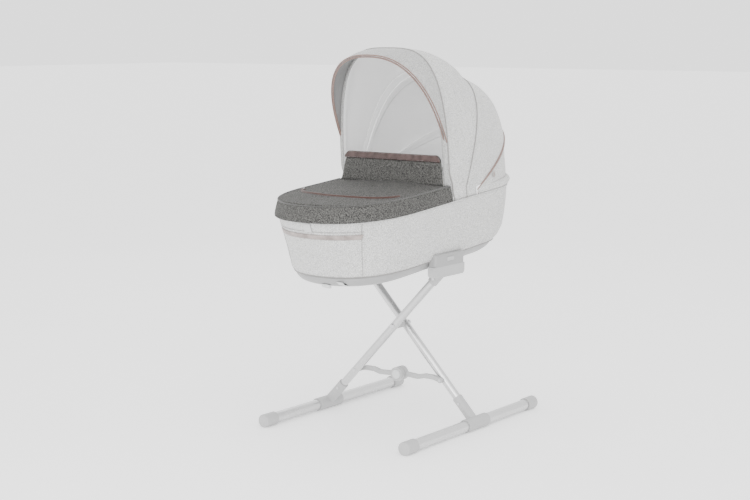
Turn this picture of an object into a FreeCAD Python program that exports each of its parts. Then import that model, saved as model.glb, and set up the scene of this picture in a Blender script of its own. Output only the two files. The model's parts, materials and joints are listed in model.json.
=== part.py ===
# Bassinet on a folding stand. Millimetres, +Z up, +X towards the hood end.
import math
import os

import FreeCAD
import Part
import Sketcher

V = FreeCAD.Vector
os.makedirs("parts", exist_ok=True)
doc = FreeCAD.newDocument("bassinet")
sheet = doc.addObject("Spreadsheet::Sheet", "Params")

PARAMS = [
    # stand
    ("foot_mid_x", 21.5), ("foot_len", 700), ("foot_y", 264), ("foot_axis_z", 19.7),
    ("foot_tube_d", 34), ("foot_wall", 2), ("foot_cap_d", 41), ("foot_cap_len", 52), ("foot_cap_end", 6),
    ("foot_cap_round", 4.5), ("fixing_r", 4.2), ("fixing_long", 2.2), ("fixing_show", 1.2),
    ("tee_len", 112), ("tee_neck_d", 31.5), ("tee_neck_len", 96),
    ("leg_tube_d", 25), ("leg_wall", 1.8), ("leg_a_x", -16.5), ("leg_b_x", 38.5),
    ("leg_top_y", 194), ("leg_top_z", 503), ("leg_start", 24), ("leg_short", 16),
    ("pivot_bolt_d", 8), ("pivot_head_d", 17), ("pivot_head_len", 4), ("bush_d", 12),
    ("spacer_d", 22), ("spacer_gap", 0.5),
    ("link_pin_y", 150), ("link_pin_d", 6), ("link_pin_head_d", 13), ("link_hub_z", 143),
    ("link_thick", 12), ("link_a_x", -2.3), ("link_b_x", 12.2), ("link_joggle", 9), ("link_depth", 14),
    ("hub_d", 44), ("hub_len", 17), ("button_d", 29), ("button_len", 7), ("button_show", 3.5),
    ("fit_gap", 0.05), ("body_gap", 0.4),
    # stand brackets and carrycot adapters
    ("bracket_mid_x", -18.5), ("bracket_len", 156), ("bracket_low_z", 474), ("bracket_top_z", 507),
    ("bracket_in_y", 180), ("bracket_out_y", 207), ("tongue_len", 64), ("tongue_thick", 9),
    ("tongue_drop", 9),
    ("bracket_round", 12), ("bracket_sleeve", 75), ("bracket_neck_len", 60), ("slot_gap", 0.8),
    ("adapter_round", 7),
    ("adapter_top_z", 544), ("adapter_in_y", 183.5), ("adapter_out_y", 208), ("adapter_len", 150),
    ("release_len", 34), ("release_high", 13), ("release_deep", 8), ("release_show", 2.5),
    # carrycot body
    ("cot_ref_x", 21.5), ("cot_slope", 0.08), ("foot_cap", 262), ("head_cap", 165), ("plan_power", 2.35),
    ("tray_low_z", 499), ("tray_top_z", 529.5), ("shell_low_z", 530), ("shell_top_z", 700),
    ("shell_foot_x", -443), ("shell_head_x", 399), ("shell_half", 213), ("shell_thick", 8),
    ("tray_thick", 3),
    ("liner_thick", 3), ("liner_low_z", 538), ("liner_top_z", 697), ("liner_step_z", 554.5),
    ("liner_step_in", 15.3),
    ("board_thick", 5), ("board_low_z", 531), ("board_inset", 14), ("pocket_gap", 0.3),
    ("mattress_thick", 34), ("mattress_margin", 9), ("mattress_low_z", 542.5), ("mattress_round", 8),
    ("tray_slots", 7), ("tray_slot_x", -181), ("tray_slot_step", 70), ("tray_slot_y", 90),
    ("tray_slot_wide", 10),
    ("tray_slot_long", 60), ("tray_slot_high", 12), ("tray_slot_z", 492), ("window_long", 60),
    ("window_wide", 22),
    ("window_high", 9), ("window_aside", 55),
    ("rim_half", 208), ("rim_wide", 6), ("rim_high", 11),
    # apron and flap
    ("apron_foot_x", -458.8), ("apron_head_x", 401.5), ("apron_half", 215), ("apron_high", 47),
    ("apron_thick", 4),
    ("apron_end_x", -41), ("apron_crown", 4),
    ("flap_base_z", 741), ("flap_top_z", 834), ("flap_base_x", -39), ("flap_lean", 11),
    ("flap_base_half", 194), ("flap_top_half", 176), ("flap_thick", 8), ("flap_band_high", 21),
    ("flap_round", 18), ("flap_band_thick", 1.3), ("flap_band_out", 1.6), ("flap_cord_x", -39.5),
    ("flap_cord_z", 747.5), ("flap_cord_d", 2), ("flap_cord_half", 188),
    # hood
    ("hood_x", 65.5), ("hood_z", 716), ("hood_half", 208), ("hood_cloth", 2.5), ("hood_eye_r", 11),
    ("hood_start", 15), ("bow_wide", 12), ("bow_thick", 3), ("hood_axle_d", 8),
    ("bow_rear_deg", 28.5), ("bow_rear_r", 435), ("bow_rear_behind", 22), ("bow_mid_deg", 68),
    ("bow_mid_r", 380),
    ("bow_mid_ahead", 6), ("bow_front_deg", 95), ("bow_front_r", 441), ("bow_front_ahead", 78),
    ("hood_back_r", 372), ("visor_deg", 116.3), ("visor_r", 287), ("visor_up", 161), ("visor_half", 194),
    ("visor_wire", 3), ("visor_eye_r", 6), ("visor_power", 2.5), ("visor_cloth_half", 197),
    ("visor_cloth_gap", 2.1),
    ("bow_mid_half", 194.5), ("bow_front_half", 190), ("bow_rear_half", 201.8), ("bow_under", 4),
    ("bow_rear_under", 6),
    ("bow_rear_shift", 5), ("hub_plate_y", 199.3), ("hub_plate_thick", 2.4), ("hub_head_y", 186.2),
    ("hub_head_r", 7.5), ("hub_head_thick", 3), ("tag_x", 224), ("tag_long", 9), ("tag_y", -203.6),
    ("tag_thick", 1.8),
    ("tag_z", 752), ("tag_high", 17),
    # small pieces
    ("strip_low_z", 648), ("strip_high", 15), ("strip_end_x", -373), ("strip_thick", 1.4),
    ("lay_gap", 0.3),
    ("tab_low_z", 668), ("tab_top_z", 697), ("tab_wide", 30), ("tab_thick", 1.9),
    ("knob_x", -366), ("knob_y", -14), ("knob_z", 474), ("knob_tilt", 27), ("knob_len", 31),
    ("knob_wide", 21),
    ("knob_high", 6), ("knob_stand_off", 2), ("knob_shaft_d", 7), ("knob_shaft_len", 12),
    ("knob_round", 2),
    ("vent_disc_d", 18), ("vent_disc_thick", 1.6), ("vent_disc_in", 10),
    ("zip_x", -231), ("zip_reach", 84), ("zip_half", 180), ("zip_wide", 5), ("zip_low", 0.3),
    ("zip_high", 1.5),
    ("pull_low", 1.9), ("pull_high", 4.5), ("pull_long", 24), ("pull_wide", 7), ("pull_aside", 14),
    # springs
    ("lock_spring_r", 8), ("lock_spring_wire", 0.6), ("lock_spring_turns", 3), ("lock_well_deep", 10.5),
    ("release_spring_r", 4), ("release_spring_wire", 0.5), ("release_spring_turns", 4),
    ("release_well", 6),
]
for row, (alias, value) in enumerate(PARAMS, start=1):
    sheet.set("A%d" % row, alias)
    sheet.set("B%d" % row, str(value))
    sheet.setAlias("B%d" % row, alias)
doc.recompute()


def val(alias):
    return float(sheet.get(alias))


NODES = []


def keep(obj, label):
    obj.Label = label
    NODES.append(obj)
    return obj


def expr(text):
    """Put the sheet's name in front of every alias in a formula."""
    out = text
    for alias in sorted((name for name, _ in PARAMS), key=len, reverse=True):
        out = out.replace("{%s}" % alias, "Params.%s" % alias)
    return out


# ---------------------------------------------------------------- primitives
AXES = {
    "x": (V(0, 1, 0), 90),
    "-x": (V(0, 1, 0), -90),
    "y": (V(1, 0, 0), -90),
    "z": (V(0, 0, 1), 0),
}
ALONG_X = FreeCAD.Rotation(V(0, 0, 1), V(1, 0, 0))
AGAINST_X = FreeCAD.Rotation(V(0, 0, 1), V(-1, 0, 0))


def place(obj, at, axis="z", turn=None):
    rotation = turn or FreeCAD.Rotation(*AXES[axis])
    obj.Placement = FreeCAD.Placement(V(0, 0, 0), rotation)
    for letter, text in zip("xyz", at):
        obj.setExpression("Placement.Base.%s" % letter, expr(str(text)))
    return obj


def cylinder(name, radius, height, at, axis="z", turn=None):
    obj = doc.addObject("Part::Cylinder", name)
    obj.setExpression("Radius", expr(radius))
    obj.setExpression("Height", expr(height))
    return place(obj, at, axis, turn)


def box(name, length, width, height, at):
    obj = doc.addObject("Part::Box", name)
    obj.setExpression("Length", expr(length))
    obj.setExpression("Width", expr(width))
    obj.setExpression("Height", expr(height))
    return place(obj, at)


def fuse(name, parts):
    obj = doc.addObject("Part::MultiFuse", name)
    obj.Shapes = parts
    return obj


def cut(name, base, tool):
    obj = doc.addObject("Part::Cut", name)
    obj.Base = base
    obj.Tool = tool
    return obj


def rounded(name, base, size, pick):
    """Fillet the edges of base that pick() accepts."""
    doc.recompute()
    obj = doc.addObject("Part::Fillet", name)
    obj.Base = base
    numbers = [i for i, edge in enumerate(base.Shape.Edges, start=1) if pick(edge)]
    obj.Edges = [(i, size, size) for i in numbers]
    return obj


def feature(label, shape):
    obj = doc.addObject("Part::Feature", label)
    obj.Shape = shape
    return keep(obj, label)


def body_at(label, at, turn=None):
    body = doc.addObject("PartDesign::Body", label)
    place(body, at, turn=turn or FreeCAD.Rotation())
    return keep(body, label)


def plane_sketch(body, role, name):
    sketch = body.newObject("Sketcher::SketchObject", name)
    plane = [f for f in body.Origin.OriginFeatures if f.Role == role][0]
    sketch.AttachmentSupport = [(plane, "")]
    sketch.MapMode = "FlatFace"
    return sketch


def circle(sketch, radius_text):
    number = sketch.addGeometry(Part.Circle(V(0, 0, 0), V(0, 0, 1), 5), False)
    sketch.addConstraint(Sketcher.Constraint("Coincident", number, 3, -1, 1))
    row = sketch.addConstraint(Sketcher.Constraint("Radius", number, 5))
    sketch.setExpression("Constraints[%d]" % row, expr(radius_text))


def polygon(sketch, points):
    count = len(points)
    for i, (px, py) in enumerate(points):
        qx, qy = points[(i + 1) % count]
        sketch.addGeometry(Part.LineSegment(V(px, py, 0), V(qx, qy, 0)), False)
    for i in range(count):
        sketch.addConstraint(Sketcher.Constraint("Coincident", i, 2, (i + 1) % count, 1))


def pad(body, sketch, length_text, midplane=False, reverse=False):
    made = body.newObject("PartDesign::Pad", body.Name + "_pad")
    made.Profile = sketch
    made.setExpression("Length", expr(length_text))
    made.Midplane = midplane
    made.Reversed = reverse
    body.Tip = made
    return made


def turned(label, points, at, turn):
    """A solid of revolution: points are (radius, height) about the body's own Z."""
    body = body_at(label, at, turn)
    sketch = plane_sketch(body, "XZ_Plane", label + "_profile")
    polygon(sketch, points)
    made = body.newObject("PartDesign::Revolution", label + "_turn")
    made.Profile = sketch
    made.ReferenceAxis = (sketch, ["V_Axis"])
    made.Angle = 360
    body.Tip = made
    return body


# ---------------------------------------------------------------- stand
SIDES = {"a": 1, "b": -1}


def leg_turn(side):
    """Rotation that takes +Z to the leg's own direction, foot to top."""
    rise = val("leg_top_z") - val("foot_axis_z")
    run = val("foot_y") + val("leg_top_y")
    return FreeCAD.Rotation(V(0, 0, 1), V(0, -SIDES[side] * run, rise))


def leg_point(side, along):
    """Formulas for the point at a distance along the leg from the foot bar's axis."""
    direction = leg_turn(side).multVec(V(0, 0, 1))
    foot = "%d * {foot_y}" % SIDES[side]
    return ("{leg_%s_x}" % side, "%s + %.5f * (%s)" % (foot, direction.y, along),
            "{foot_axis_z} + %.5f * (%s)" % (direction.z, along))


def leg_length():
    run = val("foot_y") + val("leg_top_y")
    return math.hypot(run, val("leg_top_z") - val("foot_axis_z"))


def pivot_z():
    share = val("foot_y") / (val("foot_y") + val("leg_top_y"))
    return val("foot_axis_z") + share * (val("leg_top_z") - val("foot_axis_z"))


def pin_z():
    share = (val("foot_y") - val("link_pin_y")) / (val("foot_y") + val("leg_top_y"))
    return val("foot_axis_z") + share * (val("leg_top_z") - val("foot_axis_z"))


def foot_tube(side):
    body = body_at("foot_tube_" + side, ("{foot_mid_x}", "%d * {foot_y}" % SIDES[side], "{foot_axis_z}"))
    sketch = plane_sketch(body, "YZ_Plane", "foot_ring_" + side)
    circle(sketch, "{foot_tube_d} / 2")
    circle(sketch, "{foot_tube_d} / 2 - {foot_wall}")
    pad(body, sketch, "{foot_len}", midplane=True)


def foot_caps(side):
    """The two moulded end caps: a cup over the tube's end with a rounded nose."""
    caps = []
    for tag, sign, axis in (("foot", -1, "-x"), ("head", 1, "x")):
        inner = "{foot_mid_x} + %d * ({foot_len} / 2 + {foot_cap_end} - {foot_cap_len})" % sign
        at = (inner, "%d * {foot_y}" % SIDES[side], "{foot_axis_z}")
        outer = cylinder("cap_body_%s_%s" % (side, tag), "{foot_cap_d} / 2", "{foot_cap_len}", at, axis)
        bore = cylinder("cap_bore_%s_%s" % (side, tag), "{foot_tube_d} / 2 + {fit_gap}",
                        "{foot_cap_len} - {foot_cap_end} + {fit_gap}", at, axis)
        far = val("foot_mid_x") + sign * (val("foot_len") / 2 + val("foot_cap_end"))
        nose = rounded("cap_nose_%s_%s" % (side, tag), outer, val("foot_cap_round"),
                       lambda e, far=far: abs(e.CenterOfMass.x - far) < 0.1)
        flat = box("cap_flat_%s_%s" % (side, tag), "4 * {foot_cap_len}", "2 * {foot_cap_d}", "20",
                   (inner + " - 2 * {foot_cap_len}", at[1] + " - {foot_cap_d}", "-20"))
        caps.append(cut("cap_%s_%s" % (side, tag), nose, fuse("cap_tools_%s_%s" % (side, tag), [bore, flat])))
    keep(fuse("foot_caps_%s" % side, caps), "foot_caps_" + side)


def foot_joint(side):
    """The tee that sleeves the foot bar and takes the leg."""
    y = "%d * {foot_y}" % SIDES[side]
    start = "{leg_%s_x} - {tee_len} / 2" % side
    sleeve = cylinder("tee_sleeve_" + side, "{foot_cap_d} / 2", "{tee_len}", (start, y, "{foot_axis_z}"), "x")
    turn = leg_turn(side)
    neck = cylinder("tee_neck_" + side, "{tee_neck_d} / 2", "{tee_neck_len}", leg_point(side, "0"), turn=turn)
    whole = fuse("tee_whole_" + side, [sleeve, neck])
    bar = cylinder("tee_bar_bore_" + side, "{foot_tube_d} / 2 + {fit_gap}", "{tee_len} + 2",
                   (start + " - 1", y, "{foot_axis_z}"), "x")
    socket = cylinder("tee_leg_bore_" + side, "{leg_tube_d} / 2 + {fit_gap}", "{tee_neck_len}",
                      leg_point(side, "{leg_start} - 1"), turn=turn)
    flat = box("tee_flat_" + side, "2 * {tee_len}", "100", "20", (start + " - 50", y + " - 50", "-20"))
    bores = fuse("tee_bores_" + side, [bar, socket, flat])
    keep(cut("foot_joint_" + side, whole, bores), "foot_joint_" + side)


def leg_tube(side):
    """The round leg tube with its cross holes for the pivot and the link pin."""
    turn = leg_turn(side)
    length = "%.4f - {leg_start} - {leg_short}" % leg_length()
    at = leg_point(side, "{leg_start}")
    outer = cylinder("leg_outer_" + side, "{leg_tube_d} / 2", length, at, turn=turn)
    inner = cylinder("leg_inner_" + side, "{leg_tube_d} / 2 - {leg_wall}", length, at, turn=turn)
    start = "{leg_%s_x} - {leg_tube_d}" % side
    wide = "{bush_d}" if side == "b" else "{pivot_bolt_d}"
    pivot = cylinder("leg_pivot_hole_" + side, wide + " / 2 + {fit_gap}", "2 * {leg_tube_d}",
                     (start, 0, pivot_z()), "x")
    pin = cylinder("leg_pin_hole_" + side, "{link_pin_d} / 2 + {fit_gap}", "2 * {leg_tube_d}",
                   (start, "%d * {link_pin_y}" % SIDES[side], pin_z()), "x")
    keep(cut("leg_tube_" + side, outer, fuse("leg_holes_" + side, [inner, pivot, pin])), "leg_tube_" + side)


def bracket(side):
    """The moulded cradle at the top of a leg, with the slot for the carrycot's tongue."""
    sign = -SIDES[side]
    low_y = "{bracket_in_y}" if sign > 0 else "-{bracket_out_y}"
    start = "{bracket_mid_x} - {bracket_len} / 2"
    block = box("bracket_block_" + side, "{bracket_len}", "{bracket_out_y} - {bracket_in_y}",
                "{bracket_top_z} - {bracket_low_z}", (start, low_y, "{bracket_low_z}"))

    def low_end(edge):
        centre = edge.CenterOfMass
        at_end = abs(centre.x - val("bracket_mid_x")) > val("bracket_len") / 2 - 1
        return at_end and abs(centre.z - val("bracket_low_z")) < 0.1

    soft = rounded("bracket_soft_" + side, block, val("bracket_round"), low_end)
    turn = leg_turn(side)
    along = "%.4f - {bracket_sleeve}" % leg_length()
    neck = cylinder("bracket_neck_" + side, "{tee_neck_d} / 2", "{bracket_neck_len}", leg_point(side, along),
                    turn=turn)
    trim = box("bracket_trim_" + side, "4 * {leg_tube_d}", "4 * {leg_tube_d}", "2 * {leg_tube_d}",
               ("{leg_%s_x} - 2 * {leg_tube_d}" % side, "%d * {leg_top_y} - 2 * {leg_tube_d}" % sign,
                "{bracket_top_z}"))
    whole = cut("bracket_whole_" + side, fuse("bracket_sum_" + side, [soft, neck]), trim)
    socket = cylinder("bracket_bore_" + side, "{leg_tube_d} / 2 + {fit_gap}",
                      "{bracket_sleeve} - {leg_short} + {fit_gap}", leg_point(side, along), turn=turn)
    slot = box("bracket_slot_" + side, "{tongue_len} + 2 * {slot_gap}", "{tongue_thick} + 2 * {slot_gap}",
               "{tongue_drop} + 2 * {slot_gap}",
               ("{bracket_mid_x} - {tongue_len} / 2 - {slot_gap}",
                "%d * ({bracket_in_y} + {bracket_out_y}) / 2 - {tongue_thick} / 2 - {slot_gap}" % sign,
                "{bracket_top_z} - {tongue_drop} - {slot_gap}"))
    keep(cut("bracket_" + side, whole, fuse("bracket_voids_" + side, [socket, slot])), "bracket_" + side)


def tongue_y():
    return (val("bracket_in_y") + val("bracket_out_y")) / 2


def fixings(side):
    """Rivets that hold the tee to the bar and the leg, and the bracket to the leg."""
    made = []
    turn = leg_turn(side)
    for i, along in enumerate(("{tee_neck_len} - 22", "%.4f - 58" % leg_length())):
        at = list(leg_point(side, along))
        at[0] = "{leg_%s_x} - {tee_neck_d} / 2 - {fixing_show}" % side
        head = cylinder("fixing_%s_%d" % (side, i), "{fixing_r}", "{fixing_long}", at, "x")
        seat = cylinder("fixing_seat_%s_%d" % (side, i), "{tee_neck_d} / 2 + {fit_gap}", "6 * {fixing_r}",
                        leg_point(side, along + " - 3 * {fixing_r}"), turn=turn)
        made.append(cut("fixing_cut_%s_%d" % (side, i), head, seat))
    keep(fuse("leg_rivets_" + side, made), "leg_rivets_" + side)


for side in "ab":
    foot_tube(side)
    foot_caps(side)
    foot_joint(side)
    leg_tube(side)
    bracket(side)
    fixings(side)


def pivot_parts():
    """Bolt, spacer, bush and cap nut on the legs' crossing."""
    half = val("leg_tube_d") / 2
    start = val("leg_a_x") - half - val("pivot_head_len")
    bolt_r, head_r, head = val("pivot_bolt_d") / 2, val("pivot_head_d") / 2, val("pivot_head_len")
    long = val("leg_b_x") + half + head_r - start
    dome = head / 2
    bolt = [(0, 0), (head_r - dome, 0), (head_r, dome), (head_r, head), (bolt_r, head), (bolt_r, long),
            (0, long)]
    turned("pivot_bolt", bolt, (start, 0, pivot_z()), ALONG_X)
    nut_low = val("leg_b_x") + half + val("body_gap")
    hole, skin = bolt_r + val("fit_gap"), dome
    deep = head_r + skin / 2
    nut = [(hole, 0), (head_r, 0), (head_r, deep - skin), (head_r - dome, deep + skin), (0, deep + skin),
           (0, deep), (hole, deep)]
    turned("pivot_nut", nut, (nut_low, 0, pivot_z()), ALONG_X)
    low = val("leg_a_x") + half + 0.2
    long = val("leg_b_x") - half - val("spacer_gap") - low
    spacer = cylinder("spacer_disc", "{spacer_d} / 2", str(long), (low, 0, pivot_z()), "x")
    hole = cylinder("spacer_hole", "{pivot_bolt_d} / 2 + {fit_gap}", str(long + 2),
                    (low - 1, 0, pivot_z()), "x")
    keep(cut("pivot_spacer", spacer, hole), "pivot_spacer")
    ring = cylinder("bush_ring", "{bush_d} / 2", "{leg_tube_d}",
                    ("{leg_b_x} - {leg_tube_d} / 2", 0, pivot_z()), "x")
    hole = cylinder("bush_hole", "{pivot_bolt_d} / 2 + {fit_gap}", "{leg_tube_d} + 2",
                    ("{leg_b_x} - {leg_tube_d} / 2 - 1", 0, pivot_z()), "x")
    keep(cut("pivot_bush", ring, hole), "pivot_bush")


def pin_profile(length, tail):
    """A domed head, a rod and a peened tail, as (radius, height)."""
    rod, head = val("link_pin_d") / 2, val("link_pin_head_d") / 2
    dome = rod / 2
    return [(0, 0), (head - dome, 0), (head, dome), (head, rod), (rod, rod), (rod, length),
            (head - dome, length), (head - dome, length + tail), (0, length + tail)]


def link_pins():
    """The rivets on which the two link arms turn, one through each leg."""
    out = val("leg_tube_d") / 2 + val("link_pin_d") / 2
    start = val("leg_a_x") - out
    length = val("link_a_x") + val("link_thick") + val("body_gap") - start
    turned("link_pin_a", pin_profile(length, 1), (start, val("link_pin_y"), pin_z()), ALONG_X)
    start = val("leg_b_x") + out
    length = start - val("link_b_x") + val("body_gap")
    turned("link_pin_b", pin_profile(length, 0.7), (start, -val("link_pin_y"), pin_z()), AGAINST_X)


def link_arm(side):
    """One moulded arm of the folding link with its half of the hub."""
    sign = SIDES[side]
    low_x = val("link_%s_x" % side)
    thick, deep, step = val("link_thick"), val("link_depth") / 2, val("link_joggle")
    far, pin, hub = val("link_pin_y"), pin_z(), val("link_hub_z")
    arch, dip = pin + step * 0.7, hub - step * 0.3
    line = [(far, pin), (far - 26, arch), (far - 58, arch), (far - 82, dip), (val("hub_d") / 2 - 6, hub)]
    upper = [(y, z + deep) for y, z in line]
    lower = [(y, z - deep) for y, z in reversed(line)]
    outline = [V(low_x, sign * y, z) for y, z in upper + lower]
    arm = Part.Face(Part.makePolygon(outline + outline[:1])).extrude(V(thick, 0, 0))
    eye = Part.makeCylinder(deep + 1.5, thick, V(low_x, sign * far, pin), V(1, 0, 0))
    outward = val("hub_len") - thick if side == "a" else 0
    round_hub = Part.makeCylinder(val("hub_d") / 2, val("hub_len"), V(low_x - outward, 0, hub), V(1, 0, 0))
    whole = arm.fuse([eye, round_hub]).removeSplitter()
    hole_r = val("link_pin_d") / 2 + val("fit_gap")
    whole = whole.cut(Part.makeCylinder(hole_r, thick + 2, V(low_x - 1, sign * far, pin), V(1, 0, 0)))
    if side == "a":
        mouth = V(low_x - outward, 0, hub)
        wide = val("button_d") / 2 + val("pocket_gap")
        whole = whole.cut(Part.makeCylinder(wide, val("lock_well_deep"), mouth, V(1, 0, 0)))
    feature("link_arm_" + side, whole)


def spring(radius, wire, turns, base, axis, length):
    """A closed-end compression spring from base along axis."""
    coil = Part.makeHelix(length / turns, length, radius)
    start = coil.Edges[0].valueAt(coil.Edges[0].FirstParameter)
    direction = coil.Edges[0].tangentAt(coil.Edges[0].FirstParameter)
    ring = Part.Wire(Part.Circle(start, direction, wire).toShape())
    solid = Part.Wire(coil.Edges).makePipeShell([ring], True, True)
    solid.Placement = FreeCAD.Placement(base, FreeCAD.Rotation(V(0, 0, 1), axis))
    return solid


def lock_parts():
    """The white lock button in the hub's front and its return spring."""
    front = val("link_a_x") - (val("hub_len") - val("link_thick"))
    r, show, long = val("button_d") / 2, val("button_show"), val("button_len")
    wire = val("lock_spring_wire")
    profile = [(0, 0), (r - 4, 0), (r - 1, 1), (r, 2.2), (r, long), (3, long), (3, long - 2), (0, long - 2)]
    turned("lock_button", profile, (front - show, 0, val("link_hub_z")), ALONG_X)
    start = front - show + long + wire + val("pocket_gap")
    free = front + val("lock_well_deep") - start - wire - val("pocket_gap")
    feature("lock_spring", spring(val("lock_spring_r"), wire, val("lock_spring_turns"),
                                  V(start, 0, val("link_hub_z")), V(1, 0, 0), free))


pivot_parts()
link_pins()
link_arm("a")
link_arm("b")
lock_parts()


# ---------------------------------------------------------------- carrycot body
def level(x):
    """How far the carrycot's levels rise at x."""
    return val("cot_slope") * (x - val("cot_ref_x"))


def plan_points(foot, head, half, count=10):
    """Plan outline: straight sides with rounded super-elliptic ends."""
    scale, power = half / val("shell_half"), 2 / val("plan_power")
    caps = {1: val("head_cap") * scale, -1: val("foot_cap") * scale}
    points = []
    for end, sign in ((head, 1), (foot, -1)):
        cap = caps[sign]
        middle = end - sign * cap
        for i in range(count + 1):
            angle = math.radians(-90 + 180 * i / count)
            x = middle + sign * cap * abs(math.cos(angle)) ** power
            y = sign * half * math.copysign(abs(math.sin(angle)) ** power, math.sin(angle))
            points.append((x, y))
        side = (head - foot - caps[1] - caps[-1]) / 7
        points.extend((middle - sign * side * i, sign * half) for i in range(1, 7))
    return points


def oval(foot, head, half, z):
    points = [V(x, y, z + level(x)) for x, y in plan_points(foot, head, half)]
    curve = Part.BSplineCurve()
    curve.interpolate(points, PeriodicFlag=True)
    return Part.Wire(curve.toShape())


# height, foot end, head end, half width of the fabric body, lowest first
SECTIONS = [
    (val("shell_low_z"), -387, 345, 183.5),
    (546, -394, 365, 195),
    (575, -400, 383, 205),
    (640, -420, 394.5, 210.5),
    (val("shell_top_z"), val("shell_foot_x"), val("shell_head_x"), val("shell_half")),
]
# height, foot end, head end, half width of the base tray, lowest first
TRAY_ROWS = [
    (val("tray_low_z"), -349, 287, 145),
    (506, -368, 315, 160),
    (516, -380, 332, 172),
    (val("tray_top_z"), -386, 342, 181),
]


def size_at(z):
    """Foot end, head end and half width of the outer body at a level."""
    rows = SECTIONS
    if z <= rows[0][0]:
        return rows[0][1:]
    for low, high in zip(rows, rows[1:]):
        if z <= high[0]:
            share = (z - low[0]) / (high[0] - low[0])
            return tuple(a + share * (b - a) for a, b in zip(low[1:], high[1:]))
    return rows[-1][1:]


def tub(levels, inset):
    """A solid lofted through the body's sections, each drawn in by inset, one value or one for each level."""
    insets = inset if isinstance(inset, list) else [inset] * len(levels)
    wires = []
    for z, inward in zip(levels, insets):
        foot, head, half = size_at(z)
        wires.append(oval(foot + inward, head - inward, half - inward, z))
    return Part.makeLoft(wires, True, False)


def slab(foot, head, half, low, high):
    return Part.makeLoft([oval(foot, head, half, low), oval(foot, head, half, high)], True, True)


def adapter_room():
    """The pockets in the tray and body that take the two adapters."""
    grow = val("pocket_gap")
    long = val("adapter_len") + 2 * grow
    start = val("bracket_mid_x") - long / 2
    inner, low = val("adapter_in_y") - grow, val("bracket_low_z")
    wide = 2 * (val("adapter_out_y") - inner)
    rooms = []
    for y in (inner, -inner - wide):
        rooms.append(Part.makeBox(long, wide, val("adapter_top_z") + grow - low, V(start, y, low)))
    return rooms


LEVELS = [row[0] for row in SECTIONS]
FAR = 300  # beyond the body on any side


def body_shell():
    outer = tub(LEVELS, 0)
    inner = tub([LEVELS[0] - 1] + LEVELS[1:-1] + [LEVELS[-1] + 1], val("shell_thick"))
    feature("body_shell", outer.cut(inner).cut(adapter_room()))


def inner_liner():
    """The lining: a thin tub that steps in over the adapters' pockets and stands on the base board."""
    thick, gap = val("liner_thick"), val("shell_thick") + 0.5
    low, step = val("liner_low_z"), val("liner_step_z")
    outer = tub([low, step] + LEVELS[2:-1] + [val("liner_top_z")],
                [gap, val("liner_step_in")] + [gap] * (len(LEVELS) - 2))
    inner = tub([low + thick, step + thick, LEVELS[2] + thick, LEVELS[3], val("liner_top_z") + 1],
                [gap + thick, val("liner_step_in") + thick] + [gap + thick] * 3)
    feature("inner_liner", outer.cut(inner))


def base_board():
    low, inset = val("board_low_z"), val("board_inset")
    foot, head, half = size_at(low)
    board = slab(foot + inset, head - inset, half - inset, low, low + val("board_thick"))
    feature("base_board", board.cut(adapter_room()))


def mattress():
    """A pad with edges drawn in at its top and bottom."""
    foot, head, half = size_at(LEVELS[1])
    side = val("shell_thick") + val("liner_thick") + val("mattress_margin")
    soft = val("mattress_round")
    low, high = val("mattress_low_z"), val("mattress_low_z") + val("mattress_thick")
    wires = []
    for z, inset in ((low, side + soft), (low + soft, side), (high - soft, side), (high, side + soft)):
        wires.append(oval(foot + inset, head - inset, half - inset, z))
    feature("mattress", Part.makeLoft(wires, True, True))


def tray_solid(inset):
    """The tray's outside, or its inside when drawn in by the wall."""
    wires = []
    for i, (z, foot, head, half) in enumerate(TRAY_ROWS):
        rise = inset * max(0, 1 - i / 2)
        wires.append(oval(foot + inset, head - inset, half - inset, z + rise))
    if inset:
        z, foot, head, half = TRAY_ROWS[-1]
        wires[-1] = oval(foot + inset, head - inset, half - inset, z + 1)
    return Part.makeLoft(wires, True, False)


def knob_axis():
    """The vent knob's own axis, square to the tray's sloping foot end."""
    tilt = math.radians(val("knob_tilt"))
    return V(-math.sin(tilt), 0, -math.cos(tilt))


def knob_at(out):
    return V(val("knob_x"), val("knob_y"), val("knob_z")) + knob_axis() * out


def vent_knob():
    """Oval quarter-turn grip on a shaft, and the shutter disc on the shaft's inner end."""
    length, wide, high = val("knob_len"), val("knob_wide"), val("knob_high")
    shaft_r, shaft_len = val("knob_shaft_d") / 2, val("knob_shaft_len")
    turn = FreeCAD.Rotation(V(0, 0, 1), knob_axis())
    reach = (length - wide) / 2
    ends = [Part.makeCylinder(wide / 2, high, V(0, sign * reach, 0)) for sign in (-1, 1)]
    middle = Part.makeBox(wide, 2 * reach, high, V(-wide / 2, -reach, 0))
    grip = ends[0].fuse([ends[1], middle]).removeSplitter()
    grip = grip.makeFillet(val("knob_round"), [e for e in grip.Edges if abs(e.CenterOfMass.z - high) < 0.01])
    shaft = Part.makeCylinder(shaft_r, shaft_len, V(0, 0, -shaft_len))
    whole = grip.fuse(shaft).removeSplitter()
    whole.Placement = FreeCAD.Placement(knob_at(val("knob_stand_off")), turn)
    feature("vent_knob", whole)
    deep = val("vent_disc_in")
    disc = Part.makeCylinder(val("vent_disc_d") / 2, val("vent_disc_thick"), V(0, 0, -deep))
    disc = disc.cut(Part.makeCylinder(shaft_r, 2 * val("vent_disc_thick"), V(0, 0, -deep - 1)))
    disc.Placement = FreeCAD.Placement(knob_at(val("knob_stand_off")), turn)
    feature("vent_disc", disc)


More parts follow.
